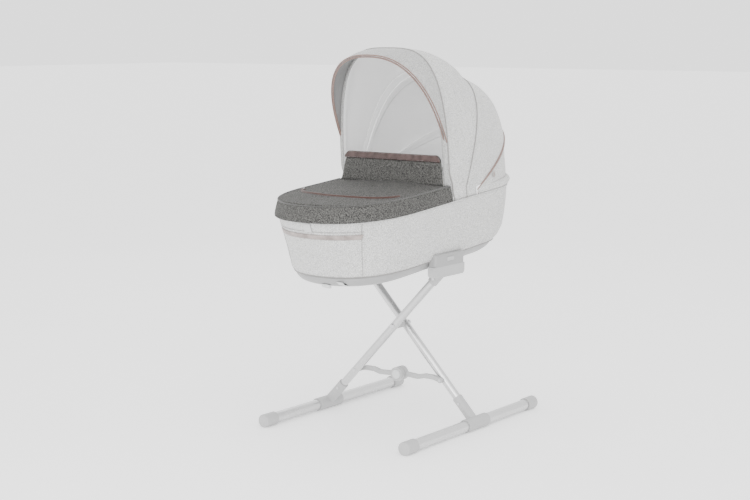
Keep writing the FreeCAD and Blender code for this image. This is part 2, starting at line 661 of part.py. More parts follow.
def base_tray():
    """The moulded tray with two rows of vent slots, the vent's window and the knob's hole."""
    tray = tray_solid(0).cut(tray_solid(val("tray_thick"))).cut(adapter_room())
    long, wide, high = val("tray_slot_long"), val("tray_slot_wide"), val("tray_slot_high")
    slots = []
    for i in range(int(val("tray_slots"))):
        x = val("tray_slot_x") + val("tray_slot_step") * i
        for sign in (-1, 1):
            y = sign * val("tray_slot_y") - wide / 2
            slots.append(Part.makeBox(long, wide, high, V(x - long / 2, y, val("tray_slot_z") + level(x))))
    tray = tray.cut(slots)
    aside = val("window_aside") + val("window_wide") / 2
    corner = V(val("knob_x") - 40, val("knob_y") - aside, val("knob_z") + 1)
    window = Part.makeBox(val("window_long"), val("window_wide"), val("window_high"), corner)
    drill = Part.makeCylinder(val("knob_shaft_d") / 2 + val("body_gap"), 40, knob_at(-20), knob_axis())
    feature("base_tray", tray.cut(window).cut(drill))


def rim_ring():
    half = val("rim_half")
    inset = val("shell_half") - half
    wide = val("rim_wide")
    low = val("shell_top_z") + val("pocket_gap")
    high = low + val("rim_high")
    foot, head = val("shell_foot_x") + inset, val("shell_head_x") - inset
    outer = slab(foot, head, half, low, high)
    inner = slab(foot + wide, head - wide, half - wide, low - 1, high + 1)
    feature("rim_ring", outer.cut(inner))


def adapter(label, sign):
    """The carrycot's seat adapter: block, tongue and pocket for the release button."""
    long, start = val("adapter_len"), val("bracket_mid_x") - val("adapter_len") / 2
    low = val("bracket_top_z") + val("body_gap")
    inner, outer = val("adapter_in_y"), val("adapter_out_y")
    y = inner if sign > 0 else -outer
    block = Part.makeBox(long, outer - inner, val("adapter_top_z") - low, V(start, y, low))
    edges = []
    for edge in block.Edges:
        centre = edge.CenterOfMass
        if abs(centre.y - sign * outer) < 0.1 and abs(centre.z - low) > 1:
            edges.append(edge)
    block = block.makeFillet(val("adapter_round"), edges)
    tongue_y = sign * (val("bracket_in_y") + val("bracket_out_y")) / 2
    tongue_long, tongue_thick, drop = val("tongue_len"), val("tongue_thick"), val("tongue_drop")
    corner = V(val("bracket_mid_x") - tongue_long / 2, tongue_y - tongue_thick / 2, low - drop)
    tongue = Part.makeBox(tongue_long, tongue_thick, drop + 1, corner)
    pocket = release_box(sign, val("body_gap"), 0, val("release_deep") + val("release_well"))
    feature(label, block.fuse(tongue).cut(pocket).removeSplitter())


def release_z():
    return (val("bracket_top_z") + val("adapter_top_z")) / 2 + 2


def release_box(sign, grow, show, deep):
    """The release button's block, or its pocket when grown."""
    long, high = val("release_len") + 2 * grow, val("release_high") + 2 * grow
    outer = val("adapter_out_y") + show
    y = outer - deep if sign > 0 else -outer
    made = Part.makeBox(long, deep, high, V(val("bracket_mid_x") - long / 2, y, release_z() - high / 2))
    if grow:
        return made
    return made.makeFillet(2, [e for e in made.Edges if abs(e.CenterOfMass.y - sign * outer) < 0.1])


def release(tag, sign):
    """A release button and the spring behind it."""
    feature("release_button_" + tag, release_box(sign, 0, val("release_show"), val("release_deep")))
    wire, gap = val("release_spring_wire"), val("pocket_gap")
    start = val("adapter_out_y") - val("release_deep") - val("release_well") + wire + gap
    long = val("release_well") + val("release_show") - 2 * (wire + gap)
    base = V(val("bracket_mid_x"), sign * start, release_z())
    feature("release_spring_" + tag, spring(val("release_spring_r"), wire, val("release_spring_turns"), base,
                                            V(0, sign, 0), long))


def outer_band(low, high, thick):
    """A thin band that follows the outside of the body between two levels."""
    near = val("lay_gap")
    skin = tub(LEVELS, -near - thick).cut(tub(LEVELS, -near))
    return skin.common(slab(-2 * FAR, 2 * FAR, FAR, low, high))


def leather_strip():
    band = outer_band(val("strip_low_z"), val("strip_low_z") + val("strip_high"), val("strip_thick"))
    reach = val("strip_end_x") - val("shell_foot_x") + 50
    room = Part.makeBox(reach, 2 * FAR, FAR, V(val("strip_end_x") - reach, -FAR, val("shell_low_z")))
    feature("leather_strip", band.common(room))


def front_tab():
    band = outer_band(val("tab_low_z"), val("tab_top_z"), val("tab_thick"))
    wide = val("tab_wide")
    room = Part.makeBox(80, wide, FAR, V(val("shell_foot_x") - 50, -wide / 2, val("shell_low_z")))
    feature("front_tab", band.common(room))


body_shell()
inner_liner()
base_board()
mattress()
base_tray()
vent_knob()
rim_ring()
for tag, sign in (("near", -1), ("far", 1)):
    adapter("adapter_" + tag, sign)
    release(tag, sign)
leather_strip()
front_tab()


# ---------------------------------------------------------------- apron and flap
def apron_solid(rows):
    """A solid lofted through outlines at the given levels and insets from the apron's lower edge."""
    foot, head, half = val("apron_foot_x"), val("apron_head_x"), val("apron_half")
    return Part.makeLoft([oval(foot + inset, head - inset, half - inset, z) for z, inset in rows], True, True)


def apron():
    """The padded cover: a skirt round the rim and a slightly crowned deck, open at the head."""
    low = val("shell_top_z") + 0.6
    high, crown, thick = low + val("apron_high"), val("apron_crown"), val("apron_thick")
    rows = [(low, 0), (low + 12, 1.5), (high - 8, 6.5), (high - 2, 10), (high + crown / 2, 34),
            (high + crown, 90)]
    outer = apron_solid(rows)
    zip_pieces(outer)
    inside = [(low - 1, 3), (rows[1][0], rows[1][1] + 3)]
    inside += [(z - thick, inset + 3) for z, inset in rows[2:]]
    room = Part.makeBox(2 * FAR, 2 * FAR, FAR, V(val("apron_end_x") - 2 * FAR, -FAR, val("shell_low_z")))
    feature("apron_cover", outer.cut(apron_solid(inside)).common(room))


def zip_pieces(deck):
    """The zip's tape, curved across the deck, and its puller, each just clear of the deck."""
    def layer(low, high):
        return deck.translated(V(0, 0, high)).cut(deck.translated(V(0, 0, low)))

    def oval_prism(reach, half):
        ring = Part.Ellipse(V(0, 0, 0), half, reach).toShape()
        face = Part.Face(Part.Wire(ring))
        face.rotate(V(0, 0, 0), V(0, 0, 1), 90)
        return face.extrude(V(0, 0, FAR)).translated(V(val("zip_x"), 0, val("shell_low_z")))

    wide, reach, half = val("zip_wide"), val("zip_reach"), val("zip_half")
    tape = oval_prism(reach, half).cut(oval_prism(reach - wide, half - wide))
    tape = tape.common(Part.makeBox(FAR, 2 * FAR, FAR, V(val("zip_x") - FAR, -FAR, val("shell_low_z"))))
    feature("zip_tape", layer(val("zip_low"), val("zip_high")).common(tape))
    long = val("pull_long")
    corner = V(val("zip_x") - long + 4, half - val("pull_aside"), val("shell_low_z"))
    pull = Part.makeBox(long, val("pull_wide"), FAR, corner)
    feature("zip_puller", layer(val("pull_low"), val("pull_high")).common(pull))


def flap_face(ahead, low_share):
    """The flap's outline from a share of its height up to its top, shifted ahead along X."""
    low_z, high_z = val("flap_base_z"), val("flap_top_z")
    base, top, lean = val("flap_base_half"), val("flap_top_half"), val("flap_lean")
    corners = []
    for share in (low_share, 1):
        x = val("flap_base_x") + share * lean + ahead
        half = base + share * (top - base)
        z = low_z + share * (high_z - low_z)
        corners.append((V(x, -half, z), V(x, half, z)))
    (a, b), (d, c) = corners
    return Part.Face(Part.makePolygon([a, b, c, d, a]))


def flap():
    """The upright wind flap, the leather band along its top and the cord it folds on."""
    top = val("flap_top_z")
    panel = flap_face(0, 0).extrude(V(val("flap_thick"), 0, 0))
    corners = []
    for edge in panel.Edges:
        centre = edge.CenterOfMass
        if abs(centre.z - top) < 0.5 and abs(centre.y) > val("flap_top_half") / 2:
            corners.append(edge)
    panel = panel.makeFillet(val("flap_round"), corners)
    feature("apron_flap", panel)
    share = 1 - val("flap_band_high") / (top - val("flap_base_z"))
    band = flap_face(-val("flap_band_out"), share).extrude(V(val("flap_band_thick"), 0, 0))
    feature("flap_band", band.common(panel.translated(V(-val("flap_thick") / 2, 0, 0))))
    cord = cylinder("flap_cord", "{flap_cord_d} / 2", "2 * {flap_cord_half}",
                    ("{flap_cord_x}", "-{flap_cord_half}", "{flap_cord_z}"), "y")
    keep(cord, "flap_cord")


apron()
flap()

# ---------------------------------------------------------------- hood
HOOD = V(val("hood_x"), 0, val("hood_z"))


def hood_point(deg, ahead, side, r):
    """A point in a bow plane: side is across, r is away from the hood's axis."""
    a = math.radians(deg)
    return HOOD + V(r * math.cos(a) - ahead * math.sin(a), side, r * math.sin(a) + ahead * math.cos(a))


def bow_curve(deg, ahead, radius, half, power, start, count=14):
    """Half super-ellipse from one side of the hood over to the other."""
    shift = math.asin(min(1.0, (start / radius) ** (power / 2)))
    points = []
    for i in range(count + 1):
        angle = shift + (math.pi - 2 * shift) * i / count
        side = -math.copysign(half * abs(math.cos(angle)) ** (2 / power), math.cos(angle))
        points.append(hood_point(deg, ahead, side, radius * math.sin(angle) ** (2 / power)))
    return points


def spline(points):
    curve = Part.BSplineCurve()
    curve.interpolate(points)
    return curve.toShape()


def strip_wire(outer, inner):
    ends = [Part.makeLine(outer[-1], inner[-1]), Part.makeLine(inner[0], outer[0])]
    return Part.Wire([spline(outer), ends[0], spline(inner[::-1]), ends[1]])


# angle, ahead, radius, half width, roundness of the hood cloth, back first
HOOD_ROWS = [
    (4.7, 8, val("hood_back_r"), 208, 2.9), (12, 4, 391, 208, 2.7), (20, -8, 412, 208, 2.45),
    (val("bow_rear_deg"), -val("bow_rear_behind"), val("bow_rear_r"), 208, 2.33),
    (41, -12, 428, 207.5, 2.6), (54, -3, 405, 207, 2.9),
    (val("bow_mid_deg"), val("bow_mid_ahead"), val("bow_mid_r"), 206.5, 3.1),
    (77, 30, 405, 205, 3.2), (86, 55, 426, 203, 3.3),
    (val("bow_front_deg"), val("bow_front_ahead"), val("bow_front_r"), 202, 3.4),
]


def bow_start(deg, ahead):
    """How far up a bow plane the hood's cloth clears the rim."""
    a = math.radians(deg)
    x, z = val("hood_x") - ahead * math.sin(a), val("hood_z") + ahead * math.cos(a)
    rim = val("shell_top_z") + val("rim_high") + level(x) + 3
    return max(val("hood_start"), (rim - z) / max(0.1, math.sin(a) - val("cot_slope") * math.cos(a)))


def hood_cloth(label, first, last):
    """One panel of hood cloth between two of the rows, a hair short of both."""
    thick = val("hood_cloth")
    rows = [list(row) for row in HOOD_ROWS[first:last + 1]]
    rows[0][0] += 0.15
    rows[-1][0] -= 0.15
    wires = []
    for deg, ahead, radius, half, power in rows:
        start = bow_start(deg, ahead)
        outer = bow_curve(deg, ahead, radius, half, power, start)
        inner = bow_curve(deg, ahead, radius - thick, half - thick, power, start)
        wires.append(strip_wire(outer, inner))
    feature(label, Part.makeLoft(wires, True, False))


def bow(label, deg, ahead, radius, layer, power, hinged=True):
    """A flat-strip bow in its own layer across the hood, with an eye at each end if it turns."""
    thick, wide = val("bow_thick"), val("bow_wide")
    start = 4 if hinged else bow_start(deg, ahead)
    outer = bow_curve(deg, ahead - wide / 2, radius, layer, power, start)
    inner = bow_curve(deg, ahead - wide / 2, radius - thick, layer - thick, power, start)
    a = math.radians(deg)
    strip = Part.Face(strip_wire(outer, inner)).extrude(V(-wide * math.sin(a), 0, wide * math.cos(a)))
    if not hinged:
        feature(label, strip)
        return
    pieces = []
    thin = thick - 0.6
    for sign in (-1, 1):
        y = layer - thick + 0.3 if sign > 0 else -layer + 0.3
        pieces.append(Part.makeCylinder(val("hood_eye_r"), thin, V(HOOD.x, y, HOOD.z), V(0, 1, 0)))
        if ahead > wide:
            low, high = hood_point(deg, 0, y, 0), hood_point(deg, ahead + wide / 2, y, 0)
            across = V(math.cos(a), 0, math.sin(a)) * (val("hood_eye_r") - 2)
            corners = [low - across, high - across, high + across * 2.2, low + across]
            pieces.append(Part.Face(Part.makePolygon(corners + corners[:1])).extrude(V(0, thin, 0)))
    whole = strip.fuse(pieces)
    hole_r = val("hood_axle_d") / 2 + val("fit_gap")
    feature(label, whole.cut(Part.makeCylinder(hole_r, 2 * FAR, V(HOOD.x, -FAR, HOOD.z), V(0, 1, 0))))


def hood_hubs():
    """The two hub plates beside the rim, each with its headed axle."""
    plate_y, thick = val("hub_plate_y"), val("hub_plate_thick")
    head_y, head_thick = val("hub_head_y"), val("hub_head_thick")
    made = []
    for sign in (-1, 1):
        inward = V(0, -sign, 0)
        long = plate_y + thick - head_y + head_thick
        start = V(HOOD.x, sign * (plate_y + thick), HOOD.z)
        plate = Part.makeCylinder(val("hood_eye_r"), thick, start, inward)
        axle = Part.makeCylinder(val("hood_axle_d") / 2, long, start, inward)
        head = Part.makeCylinder(val("hub_head_r"), head_thick, V(HOOD.x, sign * head_y, HOOD.z), inward)
        made.append(plate.fuse([axle, head]).removeSplitter())
    feature("hood_hubs", Part.makeCompound(made))


def visor_hinge():
    return hood_point(val("bow_front_deg"), val("bow_front_ahead"), 0, val("visor_up"))


def visor_curve(deg, radius, half, start, power, count=14):
    """Half super-ellipse about the visor's hinge from one side over to the other."""
    middle = visor_hinge()
    a = math.radians(deg)
    shift = math.asin((start / radius) ** (power / 2))
    points = []
    for i in range(count + 1):
        angle = shift + (math.pi - 2 * shift) * i / count
        side = -math.copysign(half * abs(math.cos(angle)) ** (2 / power), math.cos(angle))
        r = radius * math.sin(angle) ** (2 / power)
        points.append(middle + V(r * math.cos(a), side, r * math.sin(a)))
    return points


def visor():
    """The visor's wire bow and its cloth, which closes back onto the front bow."""
    deg, radius, half_wide, wire = val("visor_deg"), val("visor_r"), val("visor_half"), val("visor_wire")
    power = val("visor_power")
    outer = visor_curve(deg, radius - 1, half_wide, 4, power)
    inner = visor_curve(deg, radius - 1 - wire, half_wide - wire, 4, power)
    a = math.radians(deg)
    lift = V(-math.sin(a), 0, math.cos(a)) * (wire + 1)
    strip = Part.Face(strip_wire(outer, inner)).extrude(lift)
    middle = visor_hinge()
    eyes = []
    for y in (half_wide - wire, -half_wide):
        eyes.append(Part.makeCylinder(val("visor_eye_r"), wire, V(middle.x, y, middle.z), V(0, 1, 0)))
    feature("visor_bow", strip.fuse(eyes).removeSplitter())
    wires = []
    front, gap, cloth = val("bow_front_deg"), val("visor_cloth_gap"), val("hood_cloth")
    steps = 4
    for i in range(steps + 1):
        share = i / steps
        turn = front + gap + share * (deg - front - gap - 0.6)
        reach = (val("bow_front_r") - val("visor_up")) * (1 - share) + (radius + 1.5) * share
        half = val("visor_cloth_half") + 2 * share
        edge = visor_curve(turn, reach, half, 22, power)
        wires.append(strip_wire(edge, visor_curve(turn, reach - cloth, half - cloth, 22, power)))
    feature("visor_cloth", Part.makeLoft(wires, True, False))


hood_cloth("hood_cloth_rear", 0, 3)
hood_cloth("hood_cloth_mid", 3, 6)
hood_cloth("hood_cloth_front", 6, 9)
bow("bow_rear", val("bow_rear_deg"), val("bow_rear_shift") - val("bow_rear_behind"),
    val("bow_rear_r") - val("bow_rear_under"), val("bow_rear_half"), 2.33, hinged=False)
bow("bow_mid", val("bow_mid_deg"), val("bow_mid_ahead"), val("bow_mid_r") - val("bow_under"),
    val("bow_mid_half"), 3.1)
bow("bow_front", val("bow_front_deg"), val("bow_front_ahead"), val("bow_front_r") - val("bow_under"),
    val("bow_front_half"), 3.4)
hood_hubs()
visor()
tag_at = V(val("tag_x"), val("tag_y"), val("tag_z"))
feature("hood_tag", Part.makeBox(val("tag_long"), val("tag_thick"), val("tag_high"), tag_at))

# ---------------------------------------------------------------- finish
doc.recompute()
for obj in doc.Objects:
    bad = [word for word in obj.State if word in ("Invalid", "Error")]
    if bad:
        raise RuntimeError("%s: %s" % (obj.Label, bad))
for obj in NODES:
    shape = obj.Shape
    if shape.isNull() or not shape.isValid() or not shape.Solids:
        raise RuntimeError("%s has a bad shape" % obj.Label)
    shape.exportStep("parts/%s.step" % obj.Label)
    bb = shape.optimalBoundingBox(True, False)
    print("%-20s solids %2d vol %9.0f  x %.1f %.1f y %.1f %.1f z %.1f %.1f" % (
        obj.Label, len(shape.Solids), shape.Volume, bb.XMin, bb.XMax, bb.YMin, bb.YMax, bb.ZMin, bb.ZMax))
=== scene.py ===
# Looks of the bassinet on its folding stand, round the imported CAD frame. Metres, same frame as the CAD.
import json
import math

import bpy
import bmesh
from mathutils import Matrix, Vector, noise


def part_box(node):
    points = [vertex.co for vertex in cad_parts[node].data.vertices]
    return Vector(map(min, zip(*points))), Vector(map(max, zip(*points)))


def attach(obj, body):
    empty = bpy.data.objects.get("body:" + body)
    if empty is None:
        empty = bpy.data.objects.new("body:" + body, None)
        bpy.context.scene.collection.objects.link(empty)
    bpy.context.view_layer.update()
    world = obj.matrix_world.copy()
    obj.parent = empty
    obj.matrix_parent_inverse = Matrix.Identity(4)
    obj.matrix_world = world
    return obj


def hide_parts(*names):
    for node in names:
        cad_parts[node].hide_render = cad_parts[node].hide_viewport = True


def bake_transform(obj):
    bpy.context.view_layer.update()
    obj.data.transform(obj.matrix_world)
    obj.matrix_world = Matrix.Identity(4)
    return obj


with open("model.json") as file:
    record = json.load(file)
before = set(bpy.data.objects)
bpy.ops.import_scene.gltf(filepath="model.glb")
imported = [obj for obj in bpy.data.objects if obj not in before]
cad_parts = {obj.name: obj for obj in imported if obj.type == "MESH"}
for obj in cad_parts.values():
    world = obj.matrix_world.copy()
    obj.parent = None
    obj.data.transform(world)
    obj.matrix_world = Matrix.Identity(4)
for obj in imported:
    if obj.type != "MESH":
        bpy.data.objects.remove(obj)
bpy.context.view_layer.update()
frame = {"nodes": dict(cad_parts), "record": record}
NODES = frame["nodes"]

# ---------------------------------------------------------------- driving sizes, metres
SLOPE = 0.08
REF_X = 0.0215
CAPS = {-1: 0.262, 1: 0.165}
PLAN_POWER = 2.35
SHELL_HALF = 0.213
# level, foot end, head end, half width of the carrycot's fabric body
SECTIONS = [
    (0.530, -0.387, 0.345, 0.1835),
    (0.546, -0.394, 0.365, 0.195),
    (0.575, -0.400, 0.383, 0.205),
    (0.640, -0.420, 0.3945, 0.2105),
    (0.700, -0.443, 0.399, 0.213),
]
HUB = Vector((0.0655, 0, 0.716))
# angle in degrees, then ahead, radius and half width in mm, and roundness of the hood, back first;
# the bows are at rows 3, 6 and 9
HOOD_ROWS = [
    (4.7, 8, 372, 208, 2.9),
    (12, 4, 391, 208, 2.7),
    (20, -8, 412, 208, 2.45),
    (28.5, -22, 435, 208, 2.33),
    (41, -12, 428, 207.5, 2.6),
    (54, -3, 405, 207, 2.9),
    (68, 6, 380, 206.5, 3.1),
    (77, 30, 405, 205, 3.2),
    (86, 55, 426, 203, 3.3),
    (95, 78, 441, 202, 3.4),
]
REAR_BOW, MIDDLE_BOW, FRONT_BOW = 3, 6, 9
HEM_TUCK = 0.38
TUCK_DROP = 0.0026
CLOTH_THICK = 0.0022
VISOR_HINGE = Vector((-0.02623, 0, 0.86959))
VISOR_DEG = 116.3
VISOR_R = 0.289
VISOR_HALF = 0.199
VISOR_POWER = 2.5
RIM_LEVEL = 0.7006
RIM_HALF = 0.2105
RIM_TOP = 0.7143
STRAP = (0.648, 0.663)
STRAP_END = -0.373
SEAM_LEVEL, SEAM_LEAN = 0.655, 0.22
LINER_FLOOR = 0.5405
FLAP_HALF_LOW, FLAP_HALF_HIGH = 0.194, 0.176
FLAP_ROUND = 0.018
ZIP_X = -0.231
ZIP_REACH, ZIP_HALF = 0.0798, 0.1758


# ---------------------------------------------------------------- small mesh tools
def new_mesh(name, verts, faces, smooth=True):
    mesh = bpy.data.meshes.new(name)
    mesh.from_pydata([tuple(v) for v in verts], [], faces)
    mesh.update()
    obj = bpy.data.objects.new(name, mesh)
    bpy.context.scene.collection.objects.link(obj)
    for poly in mesh.polygons:
        poly.use_smooth = smooth
    return obj


def grid(name, rows, closed=False):
    """A quad surface through rows of equal length; closed joins each row's end to its start."""
    count = len(rows[0])
    verts = [p for row in rows for p in row]
    faces = []
    for i in range(len(rows) - 1):
        for j in range(count if closed else count - 1):
            k = (j + 1) % count
            faces.append((i * count + j, i * count + k, (i + 1) * count + k, (i + 1) * count + j))
    return new_mesh(name, verts, faces)


def face_out(obj, centre=None):
    """Turn an open surface's faces so that they look away from a point, its own middle if none is given."""
    mesh = obj.data
    centre = centre or sum((v.co for v in mesh.vertices), Vector()) / len(mesh.vertices)
    looks_out = sum((poly.center - centre).dot(poly.normal) * poly.area for poly in mesh.polygons)
    if looks_out < 0:
        mesh.flip_normals()
    return obj


def modify(obj, kind, **settings):
    mod = obj.modifiers.new(kind.title(), kind)
    for key, value in settings.items():
        setattr(mod, key, value)
    return mod


def apply_modifiers(obj):
    bpy.context.view_layer.update()
    depsgraph = bpy.context.evaluated_depsgraph_get()
    mesh = bpy.data.meshes.new_from_object(obj.evaluated_get(depsgraph))
    obj.modifiers.clear()
    obj.data = mesh


def shade(obj, *materials):
    obj.data.materials.clear()
    for material in materials:
        obj.data.materials.append(material)
    return obj


def resample(points, count):
    """Count points evenly spaced along a polyline."""
    lengths = [0.0]
    for a, b in zip(points, points[1:]):
        lengths.append(lengths[-1] + (b - a).length)
    out, k = [], 0
    for i in range(count):
        goal = lengths[-1] * i / (count - 1)
        while k < len(points) - 2 and lengths[k + 1] < goal:
            k += 1
        span = max(lengths[k + 1] - lengths[k], 1e-9)
        out.append(points[k].lerp(points[k + 1], (goal - lengths[k]) / span))
    return out


def through(rows, u):
    """A smooth curve through equally spaced values, lists of numbers or vectors, at u."""
    i = max(0, min(len(rows) - 2, int(u)))
    f = u - i
    a, b = rows[i], rows[i + 1]
    before = rows[i - 1] if i > 0 else [2 * p - q for p, q in zip(a, b)]
    after = rows[i + 2] if i + 2 < len(rows) else [2 * q - p for p, q in zip(a, b)]
    out = []
    for p0, p1, p2, p3 in zip(before, a, b, after):
        cubic = 3 * (p1 - p2) + p3 - p0
        square = 2 * p0 - 5 * p1 + 4 * p2 - p3
        out.append(p1 + 0.5 * f * (p2 - p0 + f * (square + f * cubic)))
    return out


def weld(obj, distance, fill):
    """Merge doubled points, close the open ends if asked, and turn every face outward."""
    mesh = bmesh.new()
    mesh.from_mesh(obj.data)
    bmesh.ops.remove_doubles(mesh, verts=mesh.verts, dist=distance)
    if fill:
        bmesh.ops.holes_fill(mesh, edges=[e for e in mesh.edges if e.is_boundary])
    bmesh.ops.recalc_face_normals(mesh, faces=mesh.faces)
    mesh.to_mesh(obj.data)
    mesh.free()
    return obj


def even_steps(half, steps):
    """Evenly spaced values from minus half to half."""
    return [half * (2 * k / steps - 1) for k in range(steps + 1)]


def tube(name, points, radius, sides=8, closed=False):
    """A round cord sewn along points."""
    rows = []
    count = len(points)
    for i, p in enumerate(points):
        ahead = points[(i + 1) % count] if closed or i + 1 < count else p
        behind = points[i - 1] if closed or i > 0 else p
        along = (ahead - behind).normalized()
        side = along.cross(Vector((0.31, 0.17, 0.93))).normalized()
        up = side.cross(along)
        turns = [2 * math.pi * k / sides for k in range(sides)]
        rows.append([p + (side * math.cos(turn) + up * math.sin(turn)) * radius for turn in turns])
    if closed:
        rows.append(rows[0])
    return weld(grid(name, rows, closed=True), 1e-6, not closed)


def stitches(name, points, pitch, length, thick):
    """A row of short raised thread stitches along points."""
    total = sum((b - a).length for a, b in zip(points, points[1:]))
    spots = resample(points, max(3, int(total / pitch)))
    verts, faces = [], []
    for a, b in zip(spots, spots[1:]):
        middle, along = (a + b) / 2, (b - a).normalized()
        side = along.cross(Vector((0.21, 0.13, 0.97))).normalized()
        up = side.cross(along)
        base = len(verts)
        verts += [middle - along * length / 2, middle + along * length / 2]
        verts += [middle + v * thick / 2 for v in (side, up, -side, -up)]
        for k in range(4):
            p, q = base + 2 + k, base + 2 + (k + 1) % 4
            faces += [(base, q, p), (base + 1, p, q)]
    return new_mesh(name, verts, faces)


def wander(point, scale, seed=0.0):
    return noise.noise(Vector((point[0] * scale + seed, point[1] * scale - seed, point[2] * scale)))


# ---------------------------------------------------------------- materials
def material(name, colour, rough=0.5, metal=0.0, sheen=0.0):
    mat = bpy.data.materials.new(name)
    mat.use_nodes = True
    bsdf = mat.node_tree.nodes["Principled BSDF"]
    bsdf.inputs["Base Color"].default_value = (*colour, 1)
    bsdf.inputs["Roughness"].default_value = rough
    bsdf.inputs["Metallic"].default_value = metal
    bsdf.inputs["Sheen Weight"].default_value = sheen
    return mat


def node(mat, kind, **inputs):
    made = mat.node_tree.nodes.new(kind)
    for key, value in inputs.items():
        made.inputs[key.replace("_", " ")].default_value = value
    return made


def wire(mat, source, target):
    mat.node_tree.links.new(source, target)


def coordinates(mat, stretch=(1, 1, 1)):
    source = mat.node_tree.nodes.new("ShaderNodeTexCoord")
    mapping = mat.node_tree.nodes.new("ShaderNodeMapping")
    mapping.inputs["Scale"].default_value = stretch
    wire(mat, source.outputs["Object"], mapping.inputs["Vector"])
    return mapping.outputs["Vector"]


def noise_node(mat, vector, scale, detail=3.0, rough=0.6):
    made = node(mat, "ShaderNodeTexNoise", Scale=scale, Detail=detail, Roughness=rough)
    wire(mat, vector, made.inputs["Vector"])
    return made


def ramp(mat, factor, stops):
    made = mat.node_tree.nodes.new("ShaderNodeValToRGB")
    while len(made.color_ramp.elements) < len(stops):
        made.color_ramp.elements.new(0.5)
    for element, (at, colour) in zip(made.color_ramp.elements, stops):
        element.position = at
        element.color = (*colour, 1)
    wire(mat, factor, made.inputs["Fac"])
    return made.outputs["Color"]


def mix(mat, factor, a, b, blend="MIX"):
    made = mat.node_tree.nodes.new("ShaderNodeMix")
    made.data_type = "RGBA"
    made.blend_type = blend
    if isinstance(factor, float):
        made.inputs["Factor"].default_value = factor
    else:
        wire(mat, factor, made.inputs["Factor"])
    for socket, value in ((made.inputs[6], a), (made.inputs[7], b)):
        if isinstance(value, tuple):
            socket.default_value = (*value, 1)
        else:
            wire(mat, value, socket)
    return made.outputs[2]


def math_node(mat, operation, a, b):
    made = mat.node_tree.nodes.new("ShaderNodeMath")
    made.operation = operation
    for socket, value in ((made.inputs[0], a), (made.inputs[1], b)):
        if isinstance(value, (int, float)):
            socket.default_value = value
        else:
            wire(mat, value, socket)
    return made.outputs[0]


def bump(mat, height, strength, distance, under=None):
    made = node(mat, "ShaderNodeBump", Strength=strength, Distance=distance)
    wire(mat, height, made.inputs["Height"])
    if under is not None:
        wire(mat, under, made.inputs["Normal"])
    return made.outputs["Normal"]


def weave(mat, pitch):
    """Height of a plain weave: two crossed sets of threads."""
    threads = []
    for direction in ("X", "Z"):
        made = mat.node_tree.nodes.new("ShaderNodeTexWave")
        made.bands_direction = direction
        made.inputs["Scale"].default_value = math.pi / 10 / pitch
        made.inputs["Distortion"].default_value = 1.2
        made.inputs["Detail"].default_value = 1
        made.inputs["Detail Scale"].default_value = 2
        wire(mat, coordinates(mat), made.inputs["Vector"])
        threads.append(made.outputs["Fac"])
    return math_node(mat, "MULTIPLY", threads[0], threads[1])


def vary_roughness(mat, factor, rough, down, up, high=0.7):
    stops = [(0.3, (rough + down,) * 3), (high, (rough + up,) * 3)]
    wire(mat, ramp(mat, factor, stops), mat.node_tree.nodes["Principled BSDF"].inputs["Roughness"])


def glow(mat, strength):
    shader = mat.node_tree.nodes["Principled BSDF"]
    shader.inputs["Emission Color"].default_value = (1, 1, 1, 1)
    shader.inputs["Emission Strength"].default_value = strength


def melange(name, light, dark, spread, fleck=330.0, rough=0.92, sheen=0.25, depth=0.0005):
    """Woven cloth of mixed light and dark yarns: flecks of two sizes, a weave and a slow change of tone."""
    mat = material(name, light, rough, sheen=sheen)
    bsdf = mat.node_tree.nodes["Principled BSDF"]
    flecks = noise_node(mat, coordinates(mat), fleck, 2, 0.75).outputs["Fac"]
    slubs = noise_node(mat, coordinates(mat, (0.55, 0.55, 1.25)), fleck * 1.7, 2, 0.6).outputs["Fac"]
    fleck_share = math_node(mat, "MULTIPLY", flecks, 0.62)
    slub_share = math_node(mat, "MULTIPLY", slubs, 0.38)
    both = math_node(mat, "ADD", fleck_share, slub_share)
    colour = ramp(mat, both, [(0.5 - spread, dark), (0.5 + spread, light)])
    slow = noise_node(mat, coordinates(mat), 9, 2, 0.5).outputs["Fac"]
    tone = ramp(mat, slow, [(0.3, (0.94, 0.94, 0.94)), (0.7, (1.0, 1.0, 1.0))])
    wire(mat, mix(mat, 1.0, colour, tone, "MULTIPLY"), bsdf.inputs["Base Color"])
    threads = weave(mat, 0.0012)
    fine = bump(mat, threads, 0.5, depth)
    wire(mat, bump(mat, both, 0.4, depth * 1.6, fine), bsdf.inputs["Normal"])
    return mat


def leather(name, colour, rough=0.42):
    """Leather-look trim: pebbled grain, creases and rubbed lighter tops."""
    mat = material(name, colour, rough)
    bsdf = mat.node_tree.nodes["Principled BSDF"]
    cells = node(mat, "ShaderNodeTexVoronoi", Scale=900.0)
    wire(mat, coordinates(mat), cells.inputs["Vector"])
    slow = noise_node(mat, coordinates(mat), 40, 4, 0.6).outputs["Fac"]
    pale = tuple(min(1, c * 1.5 + 0.03) for c in colour)
    deep = tuple(c * 0.8 for c in colour)
    wire(mat, ramp(mat, slow, [(0.35, deep), (0.7, pale)]), bsdf.inputs["Base Color"])
    vary_roughness(mat, slow, rough, -0.1, 0.15)
    grain = bump(mat, cells.outputs["Distance"], 0.4, 0.0004)
    wire(mat, bump(mat, slow, 0.2, 0.0006, grain), bsdf.inputs["Normal"])
    return mat


